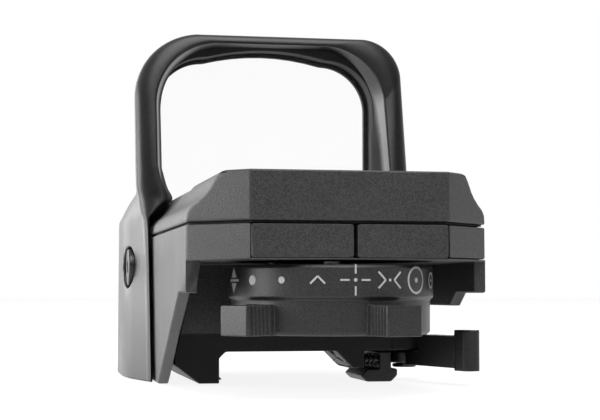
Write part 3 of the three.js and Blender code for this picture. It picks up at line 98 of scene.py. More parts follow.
# %% [markdown]
# ## The camera
# The photograph was taken from close behind, a little to the left and just above the rail. A long lens
# could be guessed and nudged by eye, but parallel edges in the picture meet at points that give the
# lens, the turn and the tilt directly, so the camera is set from those.

# %% Camera
WIDTH_PX = 600
FOCAL_PX = 1500
camera_data = bpy.data.cameras.new("camera")
camera_data.sensor_width = 36
camera_data.lens = FOCAL_PX / WIDTH_PX * camera_data.sensor_width
camera_data.clip_start = 0.01
camera_data.clip_end = 10
CAMERA_PLACE = at(-44.75, -190.9, 9.47)
UPWARDS, TO_THE_RIGHT = 3.09, 11.24  # degrees
camera = bpy.data.objects.new("camera", camera_data)
camera.location = CAMERA_PLACE
camera.rotation_euler = (radians(90 + UPWARDS), 0, radians(-TO_THE_RIGHT))
bpy.context.scene.collection.objects.link(camera)
bpy.context.scene.camera = camera
bpy.context.scene.view_settings.view_transform = "Standard"
print("lens", round(camera_data.lens, 1), "mm")

# %% [markdown]
# ## Shader maths
# A node tree wired by hand is hard to read. A small class wraps a socket, so that a mask can be written
# as an expression, and one function makes any other node from its settings and its inputs.


# %% A socket with operators
class Value:
    def __init__(self, tree, socket):
        self.tree = tree
        self.socket = socket

    def math(self, operation, *others):
        made = node(self.tree, "ShaderNodeMath", {"operation": operation}, dict(enumerate((self, *others))))
        return made.value(0)

    def __add__(self, other): return self.math("ADD", other)
    def __radd__(self, other): return self.math("ADD", other)
    def __sub__(self, other): return self.math("SUBTRACT", other)
    def __rsub__(self, other): return (self * -1).math("ADD", other)
    def __mul__(self, other): return self.math("MULTIPLY", other)
    def __rmul__(self, other): return self.math("MULTIPLY", other)
    def clamp(self): return self.math("MAXIMUM", 0).math("MINIMUM", 1)


class Made:
    def __init__(self, tree, made):
        self.tree = tree
        self.node = made

    def value(self, key):
        return Value(self.tree, self.node.outputs[key])


def node(tree, kind, settings=None, inputs=None):
    """Makes one node: its settings first, then the values or links of its sockets."""
    made = tree.nodes.new(kind)
    for key, setting in (settings or {}).items():
        setattr(made, key, setting)
    for key, given in (inputs or {}).items():
        if isinstance(given, Value):
            tree.links.new(given.socket, made.inputs[key])
        else:
            made.inputs[key].default_value = given
    return Made(tree, made)


# %% [markdown]
# ## Finishes
# The real coating is a matt black with a grain that is finer than a grain of sand. One flat black would
# look like a cut-out, so noise on Object coordinates varies the colour a little, dulls some places more
# than others, and raises the grain with a bump. The inside of the hood's arch is dull, so that it throws no
# glare on the lens, and its colour there is darkened as painted shade.


# %% Helpers for a finish
def new_material(name):
    material = bpy.data.materials.new(name)
    material.use_nodes = True
    material.node_tree.nodes.clear()
    return material, material.node_tree


def noise(tree, coordinates, scale, detail=2.0, roughness=0.5):
    """A grey noise from 0 to 1. The scale is in waves for each metre."""
    return node(
        tree, "ShaderNodeTexNoise", {"noise_dimensions": "3D"},
        {"Vector": coordinates, "Scale": scale, "Detail": detail, "Roughness": roughness},
    ).value("Fac")


def blend_colour(tree, mask, low, high):
    """A colour that runs from low to high as the mask runs from 0 to 1."""
    mixed = node(tree, "ShaderNodeMix", {"data_type": "RGBA"}, {"Factor": mask})
    for socket, colour in zip(mixed.node.inputs[6:8], (low, high)):
        if isinstance(colour, Value):
            tree.links.new(colour.socket, socket)
        else:
            socket.default_value = (*colour, 1)
    return mixed.value(2)


# %% The inside of an arch
EDGE_FADE = 2500  # the mask goes from 0 to 1 within 0.4 mm at the arch
FOOT_FADE = 300  # and within 3.3 mm at its foot


def inside_arch(tree, place, half, low, top, corner):
    """1 inside an arch with two round upper corners and 0 outside it. The sizes are in millimetres."""
    parts = node(tree, "ShaderNodeSeparateXYZ", {}, {"Vector": place})
    half, low, top, corner = (value * MM for value in (half, low, top, corner))
    across = (parts.value("X").math("ABSOLUTE") - (half - corner)).math("MAXIMUM", 0)
    up = (parts.value("Z") - (top - corner)).math("MAXIMUM", 0)
    reach = (across * across + up * up).math("SQRT")
    return ((corner - reach) * EDGE_FADE).clamp() * ((parts.value("Z") - low) * FOOT_FADE).clamp()


# %% The grained coating
FINE_GRAIN, BROAD_GRAIN = 5000, 160
FINE_CONTRAST, BROAD_CONTRAST = 2.8, 0.4
# Painted shade: inside the hood's arch the colour is pulled this share of the way towards a near black, and the coat
# is dulled there.
ARCH_SHADE_COLOUR = (0.004, 0.004, 0.004)
ARCH_SHADE_SHARE, MATT_DULLNESS = 0.75, 0.5


def grained(
    name, dark, light, grain=FINE_GRAIN, height=0.05, rough=(0.34, 0.5), metallic=0.0, specular=0.45, dull_shaded_arch=None,
):
    """A coating with a fine grain. Inside the arch given by the last argument, it is dull, and its colour is
    darkened there as painted shade.
    """
    material, tree = new_material(name)
    place = node(tree, "ShaderNodeTexCoord").value("Object")
    fine = noise(tree, place, grain, 2.0, 0.55)
    broad = noise(tree, place, BROAD_GRAIN, 3.0, 0.6)
    mask = ((fine - 0.5) * FINE_CONTRAST + (broad - 0.5) * BROAD_CONTRAST + 0.5).clamp()
    shade = blend_colour(tree, mask, dark, light)
    dullness = (broad * (rough[1] - rough[0]) + rough[0]).clamp()
    # Inside the arch the coat is dulled, and its colour is darkened as painted shade.
    if dull_shaded_arch:
        inside = inside_arch(tree, place, *dull_shaded_arch)
        dullness = (dullness + inside * MATT_DULLNESS).clamp()
        shade = blend_colour(tree, inside * ARCH_SHADE_SHARE, shade, ARCH_SHADE_COLOUR)
    bump = node(
        tree, "ShaderNodeBump", {}, {"Height": fine, "Strength": 0.8, "Distance": height * MM},
    ).value("Normal")
    shader = node(
        tree, "ShaderNodeBsdfPrincipled", {},
        {
            "Base Color": shade, "Metallic": metallic, "Specular IOR Level": specular,
            "Roughness": dullness, "Normal": bump,
        },
    ).value(0)
    node(tree, "ShaderNodeOutputMaterial", {}, {"Surface": shader})
    return material


# %% The coats of the pieces
coat_housing = grained("coat_housing", (0.028, 0.028, 0.029), (0.078, 0.078, 0.080))
coat_cover = grained("coat_cover", (0.030, 0.030, 0.031), (0.084, 0.084, 0.086), height=0.06)
# The hood's coat is dulled inside its arch, and its colour there is darkened as painted shade.
coat_hood = grained(
    "coat_hood", (0.006, 0.006, 0.007), (0.020, 0.020, 0.021), height=0.03, rough=(0.24, 0.38), specular=0.5,
    dull_shaded_arch=(19.3, 22, 51.75, 11.5),
)
coat_frame = grained("coat_frame", (0.005, 0.005, 0.005), (0.014, 0.014, 0.014), height=0.02, rough=(0.6, 0.8))
# Painted shade: the base plate has the clamp's black made about three times darker and less glossy, for the shadow
# it lies in under the drum.
coat_base_painted_shade = grained("coat_base_painted_shade", (0.002, 0.002, 0.002), (0.007, 0.007, 0.007), height=0.03, specular=0.25)
coat_clamp = grained("coat_clamp", (0.008, 0.008, 0.009), (0.024, 0.024, 0.025), height=0.03)
coat_drum = grained("coat_drum", (0.018, 0.018, 0.019), (0.050, 0.050, 0.051), height=0.025, rough=(0.3, 0.45))
pad_face = grained("pad_face", (0.030, 0.030, 0.031), (0.088, 0.088, 0.090), height=0.055)
tray_face = grained("tray_face", (0.028, 0.028, 0.029), (0.082, 0.082, 0.084), height=0.055)
seal_rubber = grained(
    "seal_rubber", (0.006, 0.006, 0.006), (0.016, 0.016, 0.016), grain=2500, rough=(0.7, 0.85),
)
dark_plastic = grained("dark_plastic", (0.035, 0.035, 0.035), (0.075, 0.075, 0.075), grain=2500)
blackened = grained(
    "blackened_steel", (0.030, 0.030, 0.031), (0.085, 0.085, 0.086), grain=4200, height=0.01, rough=(0.25, 0.4),
    metallic=0.6,
)
print("coatings", len(bpy.data.materials))


# %% [markdown]
# ## Bare metal, boards and glass
# Turned steel and brass show fine rings or scratches across the light. A stretched noise gives those
# cheaply. The board gets its green mask with faint tracks, and the glass is a thin clear pane whose
# reflections come from the shader.


# %% Bare metals
def machined(name, dark, light, stretch=(1, 1, 14), rough=(0.22, 0.42)):
    material, tree = new_material(name)
    place = node(tree, "ShaderNodeTexCoord").value("Object")
    drawn = node(tree, "ShaderNodeMapping", {}, {"Vector": place, "Scale": stretch}).value(0)
    streak = noise(tree, drawn, 900, 3.0, 0.6)
    shade = blend_colour(tree, streak, dark, light)
    bump = node(
        tree, "ShaderNodeBump", {}, {"Height": streak, "Strength": 0.25, "Distance": 0.01 * MM},
    ).value("Normal")
    shader = node(
        tree, "ShaderNodeBsdfPrincipled", {},
        {
            "Base Color": shade, "Metallic": 1.0, "Normal": bump,
            "Roughness": (streak * (rough[1] - rough[0]) + rough[0]).clamp(),
        },
    ).value(0)
    node(tree, "ShaderNodeOutputMaterial", {}, {"Surface": shader})
    return material


bare_steel = machined("bare_steel", (0.42, 0.42, 0.41), (0.66, 0.66, 0.65))
bare_brass = machined("bare_brass", (0.50, 0.36, 0.14), (0.74, 0.58, 0.28))


# %% Board, emitter and glass
def board_green():
    material, tree = new_material("board_green")
    place = node(tree, "ShaderNodeTexCoord").value("Object")
    tracks = node(
        tree, "ShaderNodeTexBrick", {"offset": 0.5},
        {"Vector": place, "Scale": 350.0, "Mortar Size": 0.06, "Mortar Smooth": 0.2},
    ).value("Fac")
    shade = blend_colour(tree, tracks, (0.010, 0.060, 0.024), (0.030, 0.140, 0.060))
    shader = node(
        tree, "ShaderNodeBsdfPrincipled", {}, {"Base Color": shade, "Roughness": 0.35},
    ).value(0)
    node(tree, "ShaderNodeOutputMaterial", {}, {"Surface": shader})
    return material


def glass(name, tint, alpha):
    material, tree = new_material(name)
    place = node(tree, "ShaderNodeTexCoord").value("Object")
    haze = noise(tree, place, 120, 2.0)
    shade = blend_colour(tree, haze, tuple(0.97 * c for c in tint), tint)
    shader = node(
        tree, "ShaderNodeBsdfPrincipled", {},
        {"Base Color": shade, "Roughness": 0.03, "IOR": 1.5, "Alpha": haze * 0.01 + alpha},
    ).value(0)
    node(tree, "ShaderNodeOutputMaterial", {}, {"Surface": shader})
    return material


board_mask = board_green()
lens_glass = glass("lens_glass", (0.97, 0.985, 1.0), 0.02)
window_glass = glass("window_glass", (0.9, 0.92, 0.93), 0.2)
emitter_red = grained("emitter_red", (0.30, 0.012, 0.010), (0.50, 0.03, 0.02), grain=1500, rough=(0.15, 0.25))
symbol_paint = grained(
    "symbol_paint", (0.66, 0.66, 0.66), (0.84, 0.84, 0.83), grain=5200, height=0.006, rough=(0.5, 0.7),
)
print("materials", len(bpy.data.materials))

# %% [markdown]
# ## Broken edges
# Every milled edge is broken a little, and a sharp edge is what gives a CAD render away. The CAD meshes
# are loose triangles, so a copy is merged and its flat faces are joined first. A bevel then rounds only
# the real corners. One width for all would stop at the smallest step of the piece, so each corner gets
# the width that its neighbours leave it, as a bevel weight. The copy stands in for the node, which stays
# hidden for collision.


# %% Clean copies
FLAT = 30 * MM * MM  # a face of this area is a flat of the real part, and no facet of a curve
CRISP = 24  # degrees between two facets, past which their edge stays crisp


def crease_flats(shape):
    """Marks the edges that stay crisp: where two flats meet, and the coarser facets."""
    for edge in shape.edges:
        if len(edge.link_faces) == 2:
            angle = edge.calc_face_angle(0)
            between_flats = min(face.calc_area() for face in edge.link_faces) > FLAT
            edge.smooth = not (angle > radians(CRISP) or (between_flats and angle > radians(2)))


def clean_copy(name):
    mesh = nodes[name].data.copy()
    mesh.materials.clear()
    shape = bmesh.new()
    shape.from_mesh(mesh)
    bmesh.ops.remove_doubles(shape, verts=shape.verts, dist=0.002 * MM)
    bmesh.ops.dissolve_limit(shape, angle_limit=radians(0.6), verts=shape.verts, edges=shape.edges)
    crease_flats(shape)
    bmesh.ops.triangulate(shape, faces=[face for face in shape.faces if len(face.verts) > 4])
    shape.to_mesh(mesh)
    shape.free()
    return mesh


# %% Room for the corners
HALF_FREE, ALL_FREE = 0.45, 0.9  # share of a neighbouring edge that one corner may use
LEAST_SHARE = 0.15  # a corner narrower than this share of the width stays sharp
SAME_LINE = cos(radians(35))


def room_at(vert, sharp, width):
    """The widest corner that fits between a vertex and its neighbours."""
    mine = [edge for edge in vert.link_edges if edge in sharp]
    room = width
    for edge in vert.link_edges:
        away = edge.other_vert(vert)
        length = (away.co - vert.co).length
        if edge not in sharp:
            ends_sharp = any(other in sharp for other in away.link_edges if other is not edge)
            room = min(room, length * (HALF_FREE if ends_sharp else ALL_FREE))
            continue
        others = [other for other in mine if other is not edge]
        runs_on = len(others) == 1 and (away.co - vert.co).normalized().dot(
            (vert.co - others[0].other_vert(vert).co).normalized()) > SAME_LINE
        if not runs_on:
            room = min(room, length * HALF_FREE)
    return room


def weigh_corners(mesh, width, angle):
    """Writes how much of the width each corner can take."""
    shape = bmesh.new()
    shape.from_mesh(mesh)
    weights = shape.edges.layers.float.new("bevel_weight_edge")
    sharp = {
        edge for edge in shape.edges
        if len(edge.link_faces) == 2 and edge.calc_face_angle(0) > radians(angle)
    }
    room = {vert: room_at(vert, sharp, width) for edge in sharp for vert in edge.verts}
    for edge in sharp:
        share = min(room[vert] for vert in edge.verts) / width
        edge[weights] = share if share > LEAST_SHARE else 0
        edge.smooth = share > LEAST_SHARE
    shape.to_mesh(mesh)
    shape.free()


# %% Pieces from meshes
def link(name, mesh, material):
    piece = bpy.data.objects.new(name, mesh)
    bpy.context.scene.collection.objects.link(piece)
    mesh.materials.clear()
    mesh.materials.append(material)
    return piece


def settle(piece):
    """Turns a piece and its modifiers into one plain mesh."""
    bpy.context.view_layer.update()
    evaluated = piece.evaluated_get(bpy.context.evaluated_depsgraph_get())
    mesh = bpy.data.meshes.new_from_object(evaluated)
    piece.modifiers.clear()
    piece.data = mesh
    return piece


# %% Bevels
CORNER_ANGLE = 32
CORNER_STEPS = 3


def round_corners(piece, width):
    """Rounds the corners of a piece to a width in millimetres, and keeps its flats flat to the eye."""
    for face in piece.data.polygons:
        face.use_smooth = True
    weigh_corners(piece.data, width * MM, CORNER_ANGLE)
    bevel = piece.modifiers.new("edges", "BEVEL")
    bevel.width = width * MM
    bevel.segments = CORNER_STEPS
    bevel.limit_method = "WEIGHT"
    bevel.use_clamp_overlap = False
    bevel.miter_outer = "MITER_ARC"
    shade = piece.modifiers.new("flats", "WEIGHTED_NORMAL")
    shade.keep_sharp = True


def stand_in(piece, name):
    """Lets a finished piece take the place of a CAD node."""
    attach(piece, nodes[name]["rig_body"])
    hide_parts(name)


def broken(name, width, material):
    """A copy of a CAD node with its corners rounded."""
    piece = link(name + "_finish", clean_copy(name), material)
    round_corners(piece, width)
    piece.modifiers["flats"].weight = 80
    settle(piece)
    stand_in(piece, name)
    return piece


# %% Pieces with broken edges
EDGES = [
    # node, corner in millimetres, finish, record slot
    ("main_housing", 0.30, coat_housing, "housing"),
    ("top_cover", 0.30, coat_cover, "cover"),
    ("cover_gasket", 0.05, seal_rubber, "rubber"),
    ("button_left", 0.30, pad_face, "pads"),
    ("button_right", 0.30, pad_face, "pads"),
    ("button_seal", 0.08, seal_rubber, "rubber"),
    ("button_board", 0.06, board_mask, "board"),
    ("button_switch_left", 0.10, bare_steel, "steel"),
    ("button_switch_right", 0.10, bare_steel, "steel"),
    ("battery_tray", 0.25, tray_face, "tray"),
    ("coin_cell", 0.12, bare_steel, "steel"),
    ("battery_contact_top", 0.05, bare_brass, "brass"),
    ("battery_contact_side", 0.05, bare_brass, "brass"),
    ("drum_spindle", 0.10, bare_steel, "steel"),
    ("switch_rotor", 0.10, dark_plastic, "carriage"),
    ("spindle_bush", 0.08, bare_brass, "brass"),
    ("spindle_seal", 0.04, seal_rubber, "rubber"),
    ("wave_washer", 0.03, bare_steel, "steel"),
    ("detent_ball", 0.02, bare_steel, "steel"),
    ("main_board", 0.06, board_mask, "board"),
    ("board_screw_left", 0.08, bare_steel, "steel"),
    ("board_screw_right", 0.08, bare_steel, "steel"),
    ("windage_screw", 0.12, blackened, "black_screw"),
    ("windage_carriage", 0.12, dark_plastic, "carriage"),
    ("carriage_guide_pin", 0.08, bare_steel, "steel"),
    ("elevation_screw", 0.12, blackened, "black_screw"),
    ("elevation_carriage", 0.10, dark_plastic, "carriage"),
    ("led_emitter", 0.15, emitter_red, "led"),
    ("emitter_window", 0.08, window_glass, "window"),
    ("lens_frame", 0.30, coat_frame, "hood"),
    ("objective_lens", 0.20, lens_glass, "lens"),
    ("lens_retainer", 0.12, coat_frame, "hood"),
    ("base_plate", 0.30, coat_base_painted_shade, "base"),
    ("clamp_jaw", 0.25, coat_clamp, "base"),
    ("clamp_lever", 0.45, coat_clamp, "base"),
    ("lever_pivot_pin", 0.15, blackened, "black_screw"),
    ("jaw_guide_pin_1", 0.08, blackened, "steel"),
    ("jaw_guide_pin_2", 0.08, blackened, "steel"),
    ("selector_drum", 0.15, coat_drum, "drum"),
]
pieces = {name: broken(name, width, material) for name, width, material, slot in EDGES}
print("pieces with broken edges", len(pieces))

# %% [markdown]
# ## The lens hood
# The hood is one casting: two cheeks that swell over the body, two posts, and an arch whose left corner is
# rounder than the right one. Its shape follows a rule, so it is lofted: one section is laid at each of many
# stations from foot to foot. A section goes from the inner edge round the rear rim and along the outside to
# the front. The pocket for the lens and the two screw recesses are cut out of it afterwards.

# %% Sizes of the hood, in millimetres
FOOT, RIGHT_FOOT = -4.9, 7.5
LEFT_CORNER, RIGHT_CORNER, FRONT_CORNER = 11.4, 6.8, 9.5
RIM_TOP = 53.2
RIM_DEPTH, RIM_RAKE = 47, 0.23  # depth at the left foot, and its growth with height
FRONT_DEPTH, FRONT_RAKE = 77, 0.05
FLANKS = [
    # height, then half widths of the inner edge, the rim, the flank and the front edge
    (None, 21.1, 22.0, 24.75, 24.45),
    (None, 21.1, 22.0, 24.75, 24.45),
    (20.75, 21.1, 22.25, 24.75, 24.45),
    (22.575, 19.4, 22.55, 24.17, 23.82),
    (25.0, 16.6, 22.85, 23.01, 22.56),
    (26.95, 17.55, 23.15, 21.95, 21.4),
    (30.1, 18.5, 23.2, 21.95, 21.4),
]
ARCHES = [
    # half width, top and, where it doesn't follow the hood's side, corner
    (18.5, 51.15, 11.0), (23.2, RIM_TOP, None), (21.95, RIM_TOP, None), (21.4, 53.05, FRONT_CORNER),
]
SPAN_STEPS = 5  # stations between two rows of flanks
POST_STEPS = 3
ARC_STEPS = 20


def rim_depth(z):
    return RIM_DEPTH + RIM_RAKE * (z - FOOT)


print("rim runs from", rim_depth(FOOT), "to", rim_depth(RIM_TOP))


# %% Lines of the hood
def quarter(half, top, bend, start=0):
    """Points of an arc with its middle at one upper corner: the right one for start 0, the left one for 1."""
    middle = (half - bend) * (1 - 2 * start)
    turns = [pi / 2 * (start + i / ARC_STEPS) for i in range(ARC_STEPS + 1)]
    return [(middle + bend * cos(turn), top - bend + bend * sin(turn)) for turn in turns]


def slopes(values):
    """Slopes at the stations for a curve that never swings past them."""
    steps = [b - a for a, b in zip(values, values[1:])]
    inner = [2 * a * b / (a + b) if a * b > 0 else 0 for a, b in zip(steps, steps[1:])]
    return [steps[0], *inner, steps[-1]]


def smooth_line(values, parts):
    """The values with smooth ones put between them."""
    ends = slopes(values)
    line = []
    for (a, b), (m, n) in zip(zip(values, values[1:]), zip(ends, ends[1:])):
        for i in range(parts):
            t = i / parts
            rest = 1 - t
            line.append(a * (1 + 2 * t) * rest ** 2 + b * t * t * (3 - 2 * t) + m * t * rest ** 2 - n * t * t * rest)
    return [*line, values[-1]]


RIM_COLUMN = 2


def hood_lines(foot, corner):
    """Four lines of points (x, z), from one foot to the middle of the arch."""
    heights = [foot, (foot + FLANKS[2][0]) / 2, *[row[0] for row in FLANKS[2:]]]
    lines = []
    for column, (half, top, own) in enumerate(ARCHES, start=1):
        bend = own or (corner if column == RIM_COLUMN else (corner + FRONT_CORNER) / 2)
        across = smooth_line([row[column] for row in FLANKS], SPAN_STEPS)
        post = top - bend - heights[-1]
        line = list(zip(across, smooth_line(heights, SPAN_STEPS)))
        line += [(half, heights[-1] + post * i / POST_STEPS) for i in range(1, POST_STEPS)]
        lines.append(line + quarter(half, top, bend))
    return lines


print("stations", len(hood_lines(FOOT, LEFT_CORNER)[0]))

# %% Sections of the hood
NOSE_SHARE = 0.74  # where the rim comes nearest to the eye, as a share of its width
NOSE_STEPS = 6
NOSE_BACK, NOSE_LOSS = 2.4, 1.3  # how deep the rim rounds on the posts, and how much less at the top
RIM_SLOPE = 1.15
FLANK_DEPTH = 12
FLANK_STEPS = 5
FLANK_NEAR, FLANK_FAR = 0.55, 0.45  # where the bend over the flank begins and ends


def hood_section(inner, rim, flank, front, nose_back):
    """Points (x, depth, z) from the inner edge round the rim and along the outside to the front."""
    width = hypot(rim[0] - inner[0], rim[1] - inner[1])
    rear = rim_depth(rim[1])
    section = [(inner[0], rim_depth(inner[1]) + RIM_SLOPE * width, inner[1])]
    for i in range(NOSE_STEPS, -1, -1):
        angle = pi / 2 * i / NOSE_STEPS
        share = NOSE_SHARE * (1 - cos(angle))
        section.append((
            rim[0] + (inner[0] - rim[0]) * share, rear + nose_back * (1 - sin(angle)),
            rim[1] + (inner[1] - rim[1]) * share,
        ))
    last = Vector(section[-1])
    middle = Vector((flank[0], rear + FLANK_DEPTH, flank[1]))
    end = Vector((front[0], FRONT_DEPTH - FRONT_RAKE * (front[1] - FOOT), front[1]))
    near, far = last.lerp(middle, FLANK_NEAR), middle.lerp(end, FLANK_FAR)
    for t in (i / FLANK_STEPS for i in range(FLANK_STEPS + 1)):
        section.append(near.lerp(middle, t).lerp(middle.lerp(far, t), t))
    return [*section, end, (inner[0], end.y, inner[1])]


def hood_side(foot, corner):
    """The sections of one side, from its foot to the middle of the arch."""
    lines = hood_lines(foot, corner)
    turn = len(lines[0]) - ARC_STEPS - 1
    return [
        hood_section(*points, NOSE_BACK - NOSE_LOSS * max(0, i - turn) / ARC_STEPS)
        for i, points in enumerate(zip(*lines))
    ]


print("points in a section", len(hood_side(FOOT, LEFT_CORNER)[0]))


# %% Solids from rings of points
def skin(name, rings):
    """A closed mesh over rings with equally many points (x, depth, z)."""
    shape = bmesh.new()
    rings = [[shape.verts.new(at(*point)) for point in ring_points] for ring_points in rings]
    count = len(rings[0])
    for a, b in zip(rings, rings[1:]):
        for i in range(count):
            j = (i + 1) % count
            shape.faces.new([a[i], a[j], b[j], b[i]])
    shape.faces.new(rings[0][::-1])
    shape.faces.new(rings[-1])
    bmesh.ops.recalc_face_normals(shape, faces=shape.faces)
    mesh = bpy.data.meshes.new(name)
    shape.to_mesh(mesh)
    shape.free()
    return mesh


def forward_block(name, outline, *depths):
    """A cutter: an outline of points (x, z) carried from one depth to another."""
    return skin(name, [[(x, depth, z) for x, z in outline] for depth in depths])


BORE_SIDES = 48


def side_bore(name, radius, depth, z, *ends):
    """A cutter: a cylinder that runs across the body."""
    turns = [2 * pi * i / BORE_SIDES for i in range(BORE_SIDES)]
    circle = [(depth + radius * cos(turn), z + radius * sin(turn)) for turn in turns]
    return skin(name, [[(x, *point) for point in circle] for x in ends])


# %% Cutters of the hood
POCKET_HALF, POCKET_LOW, POCKET_TOP, POCKET_CORNER, POCKET_FOOT = 20.55, 18.3, 52.45, 10.5, 1.5
POCKET_REAR, POCKET_FRONT = 63.7, 79
SCREW_DEPTH, SCREW_HEIGHT, SCREW_SEAT = 61.2, 13.4, 22.75
RECESS_RADIUS, HOLE_RADIUS = 3.45, 1.6
INSIDE, OUTSIDE = 20, 26


def pocket_outline():
    """The lens pocket, an upright outline with two round upper corners."""
    half, foot = POCKET_HALF, POCKET_FOOT
    return [
        (-half + foot, POCKET_LOW), (half - foot, POCKET_LOW), (half, POCKET_LOW + foot),
        *quarter(half, POCKET_TOP, POCKET_CORNER), *quarter(half, POCKET_TOP, POCKET_CORNER, 1),
        (-half, POCKET_LOW + foot),
    ]


def hood_cutters():
    cutters = [forward_block("pocket", pocket_outline(), POCKET_REAR, POCKET_FRONT)]
    for side in (-1, 1):
        seat, inner, outer = side * SCREW_SEAT, side * INSIDE, side * OUTSIDE
        cutters.append(side_bore("recess", RECESS_RADIUS, SCREW_DEPTH, SCREW_HEIGHT, seat, outer))
        cutters.append(side_bore("hole", HOLE_RADIUS, SCREW_DEPTH, SCREW_HEIGHT, inner, outer))
    return cutters


# %% The hood
HOOD_CORNER = 0.3


def cut_away(piece, meshes):
    """Takes closed meshes away from a piece, one after the other."""
    for mesh in meshes:
        cutter = bpy.data.objects.new(mesh.name, mesh)
        bpy.context.scene.collection.objects.link(cutter)
        away = piece.modifiers.new(mesh.name, "BOOLEAN")
        away.operation = "DIFFERENCE"
        away.solver = "EXACT"
        away.object = cutter
        settle(piece)
        bpy.data.objects.remove(cutter)
        bpy.data.meshes.remove(mesh)


def lens_hood():
    right = hood_side(RIGHT_FOOT, RIGHT_CORNER)
    left = [[(-x, y, z) for x, y, z in section] for section in hood_side(FOOT, LEFT_CORNER)][::-1]
    piece = link("lens_hood_finish", skin("lens_hood_finish", [*right, *left[1:]]), coat_hood)
    cut_away(piece, hood_cutters())
    return piece


def finish_edges(piece, width):
    """Breaks the corners of a piece that is made here."""
    shape = bmesh.new()
    shape.from_mesh(piece.data)
    bmesh.ops.remove_doubles(shape, verts=shape.verts, dist=0.003 * MM)
    bmesh.ops.triangulate(shape, faces=[face for face in shape.faces if len(face.verts) > 4])
    shape.to_mesh(piece.data)
    shape.free()
    round_corners(piece, width)
    settle(piece)


hood = lens_hood()
finish_edges(hood, HOOD_CORNER)
stand_in(hood, "lens_hood")
print("hood faces", len(hood.data.polygons))

# %% [markdown]
# ## Screws and springs
# Eleven socket screws hold the sight together, and four coil springs push on its detent, carriage and jaw.
# They differ only in size, so each kind is one tree of Geometry Nodes with its sizes as named inputs. A
# screw is two cylinders with a six-sided hole. A spring is a spiral that a small circle is swept along.
# Each tree makes an upright shape about the origin, which is then turned and carried to its seat.

# %% Trees with named sizes
def size_tree(name, sizes):
    """A tree with one number input for each size, and the identifiers of those inputs."""
    tree = bpy.data.node_groups.new(name, "GeometryNodeTree")
    keys = {}
    for size in sizes:
        kind = "NodeSocketInt" if size.endswith("Sides") else "NodeSocketFloat"
        keys[size] = tree.interface.new_socket(name=size, in_out="INPUT", socket_type=kind).identifier
    tree.interface.new_socket(name="Shape", in_out="OUTPUT", socket_type="NodeSocketGeometry")
    return tree, keys, node(tree, "NodeGroupInput")


def close_tree(tree, shape, material):
    real = node(tree, "GeometryNodeRealizeInstances", {}, {"Geometry": shape}).value(0)
    coated = node(tree, "GeometryNodeSetMaterial", {}, {"Geometry": real, "Material": material}).value(0)
    node(tree, "NodeGroupOutput", {}, {"Shape": coated})


def upright(tree, sides, radius, low, high):
    """A cylinder along Z from low to high."""
    plain = node(
        tree, "GeometryNodeMeshCylinder", {}, {"Vertices": sides, "Radius": radius, "Depth": high - low},
    ).value("Mesh")
    middle = node(tree, "ShaderNodeCombineXYZ", {}, {"Z": (high + low) * 0.5}).value(0)
    return node(tree, "GeometryNodeTransform", {}, {"Geometry": plain, "Translation": middle}).value(0)


# %% The screw's tree
def screw_tree(material):
    """A screw whose seat is the plane z = 0 and whose head looks up."""
    tree, keys, given = size_tree("socket_screw", (
        "Head Radius", "Head Height", "Shank Radius", "Shank Length", "Socket Radius", "Socket Depth", "Sides",
    ))
    height, length = given.value("Head Height"), given.value("Shank Length")
    head = upright(tree, given.value("Sides"), given.value("Head Radius"), height * 0, height)
    shank = upright(tree, given.value("Sides"), given.value("Shank Radius"), length * -1, height * 0.3)
    joined = node(tree, "GeometryNodeMeshBoolean", {"operation": "UNION", "solver": "EXACT"})
    for part in (shank, head):
        tree.links.new(part.socket, joined.node.inputs["Mesh 2"])
    socket = upright(
        tree, 6, given.value("Socket Radius"), height - given.value("Socket Depth"), height * 1.5,
    )
    whole = node(
        tree, "GeometryNodeMeshBoolean", {"operation": "DIFFERENCE", "solver": "EXACT"},
        {"Mesh 1": joined.value(0)},
    )
    tree.links.new(socket.socket, whole.node.inputs["Mesh 2"])
    close_tree(tree, whole.value(0), material)
    return tree, keys


# %% The spring's tree
WIRE_SIDES = 10


def spring_tree(material):
    """A coil that stands on the plane z = 0."""
    tree, keys, given = size_tree("coil_spring", ("Coil Radius", "Wire Radius", "Length", "Turns", "Sides"))
    wire = given.value("Wire Radius")
    path = node(
        tree, "GeometryNodeCurveSpiral", {},
        {
            "Resolution": given.value("Sides"), "Rotations": given.value("Turns"),
            "Height": given.value("Length"),
            "Start Radius": given.value("Coil Radius"), "End Radius": given.value("Coil Radius"),
        },
    ).value(0)
    round_wire = node(
        tree, "GeometryNodeCurvePrimitiveCircle", {}, {"Resolution": WIRE_SIDES, "Radius": wire},
    ).value(0)
    coil = node(
        tree, "GeometryNodeCurveToMesh", {}, {"Curve": path, "Profile Curve": round_wire, "Fill Caps": True},
    ).value(0)
    close_tree(tree, coil, material)
    return tree, keys


# %% Seats of the screws and springs
def extent(name):
    """The two corners of a CAD node's box in millimetres."""
    corners = [vert.co / MM for vert in nodes[name].data.vertices]
    return [Vector(pick(corner[i] for corner in corners) for i in range(3)) for pick in (min, max)]


def grow(name, tree, keys, sizes, turn, seat):
    """One shape of a tree as a plain mesh, turned and carried to its seat in millimetres."""
    piece = link(name + "_finish", bpy.data.meshes.new(name), blackened)
    made = piece.modifiers.new("shape", "NODES")
    made.node_group = tree
    for size, value in sizes.items():
        made[keys[size]] = value if size in ("Sides", "Turns") else value * MM
    settle(piece)
    piece.data.transform(Matrix.Translation(seat * MM) @ turn.to_matrix().to_4x4())
    return piece


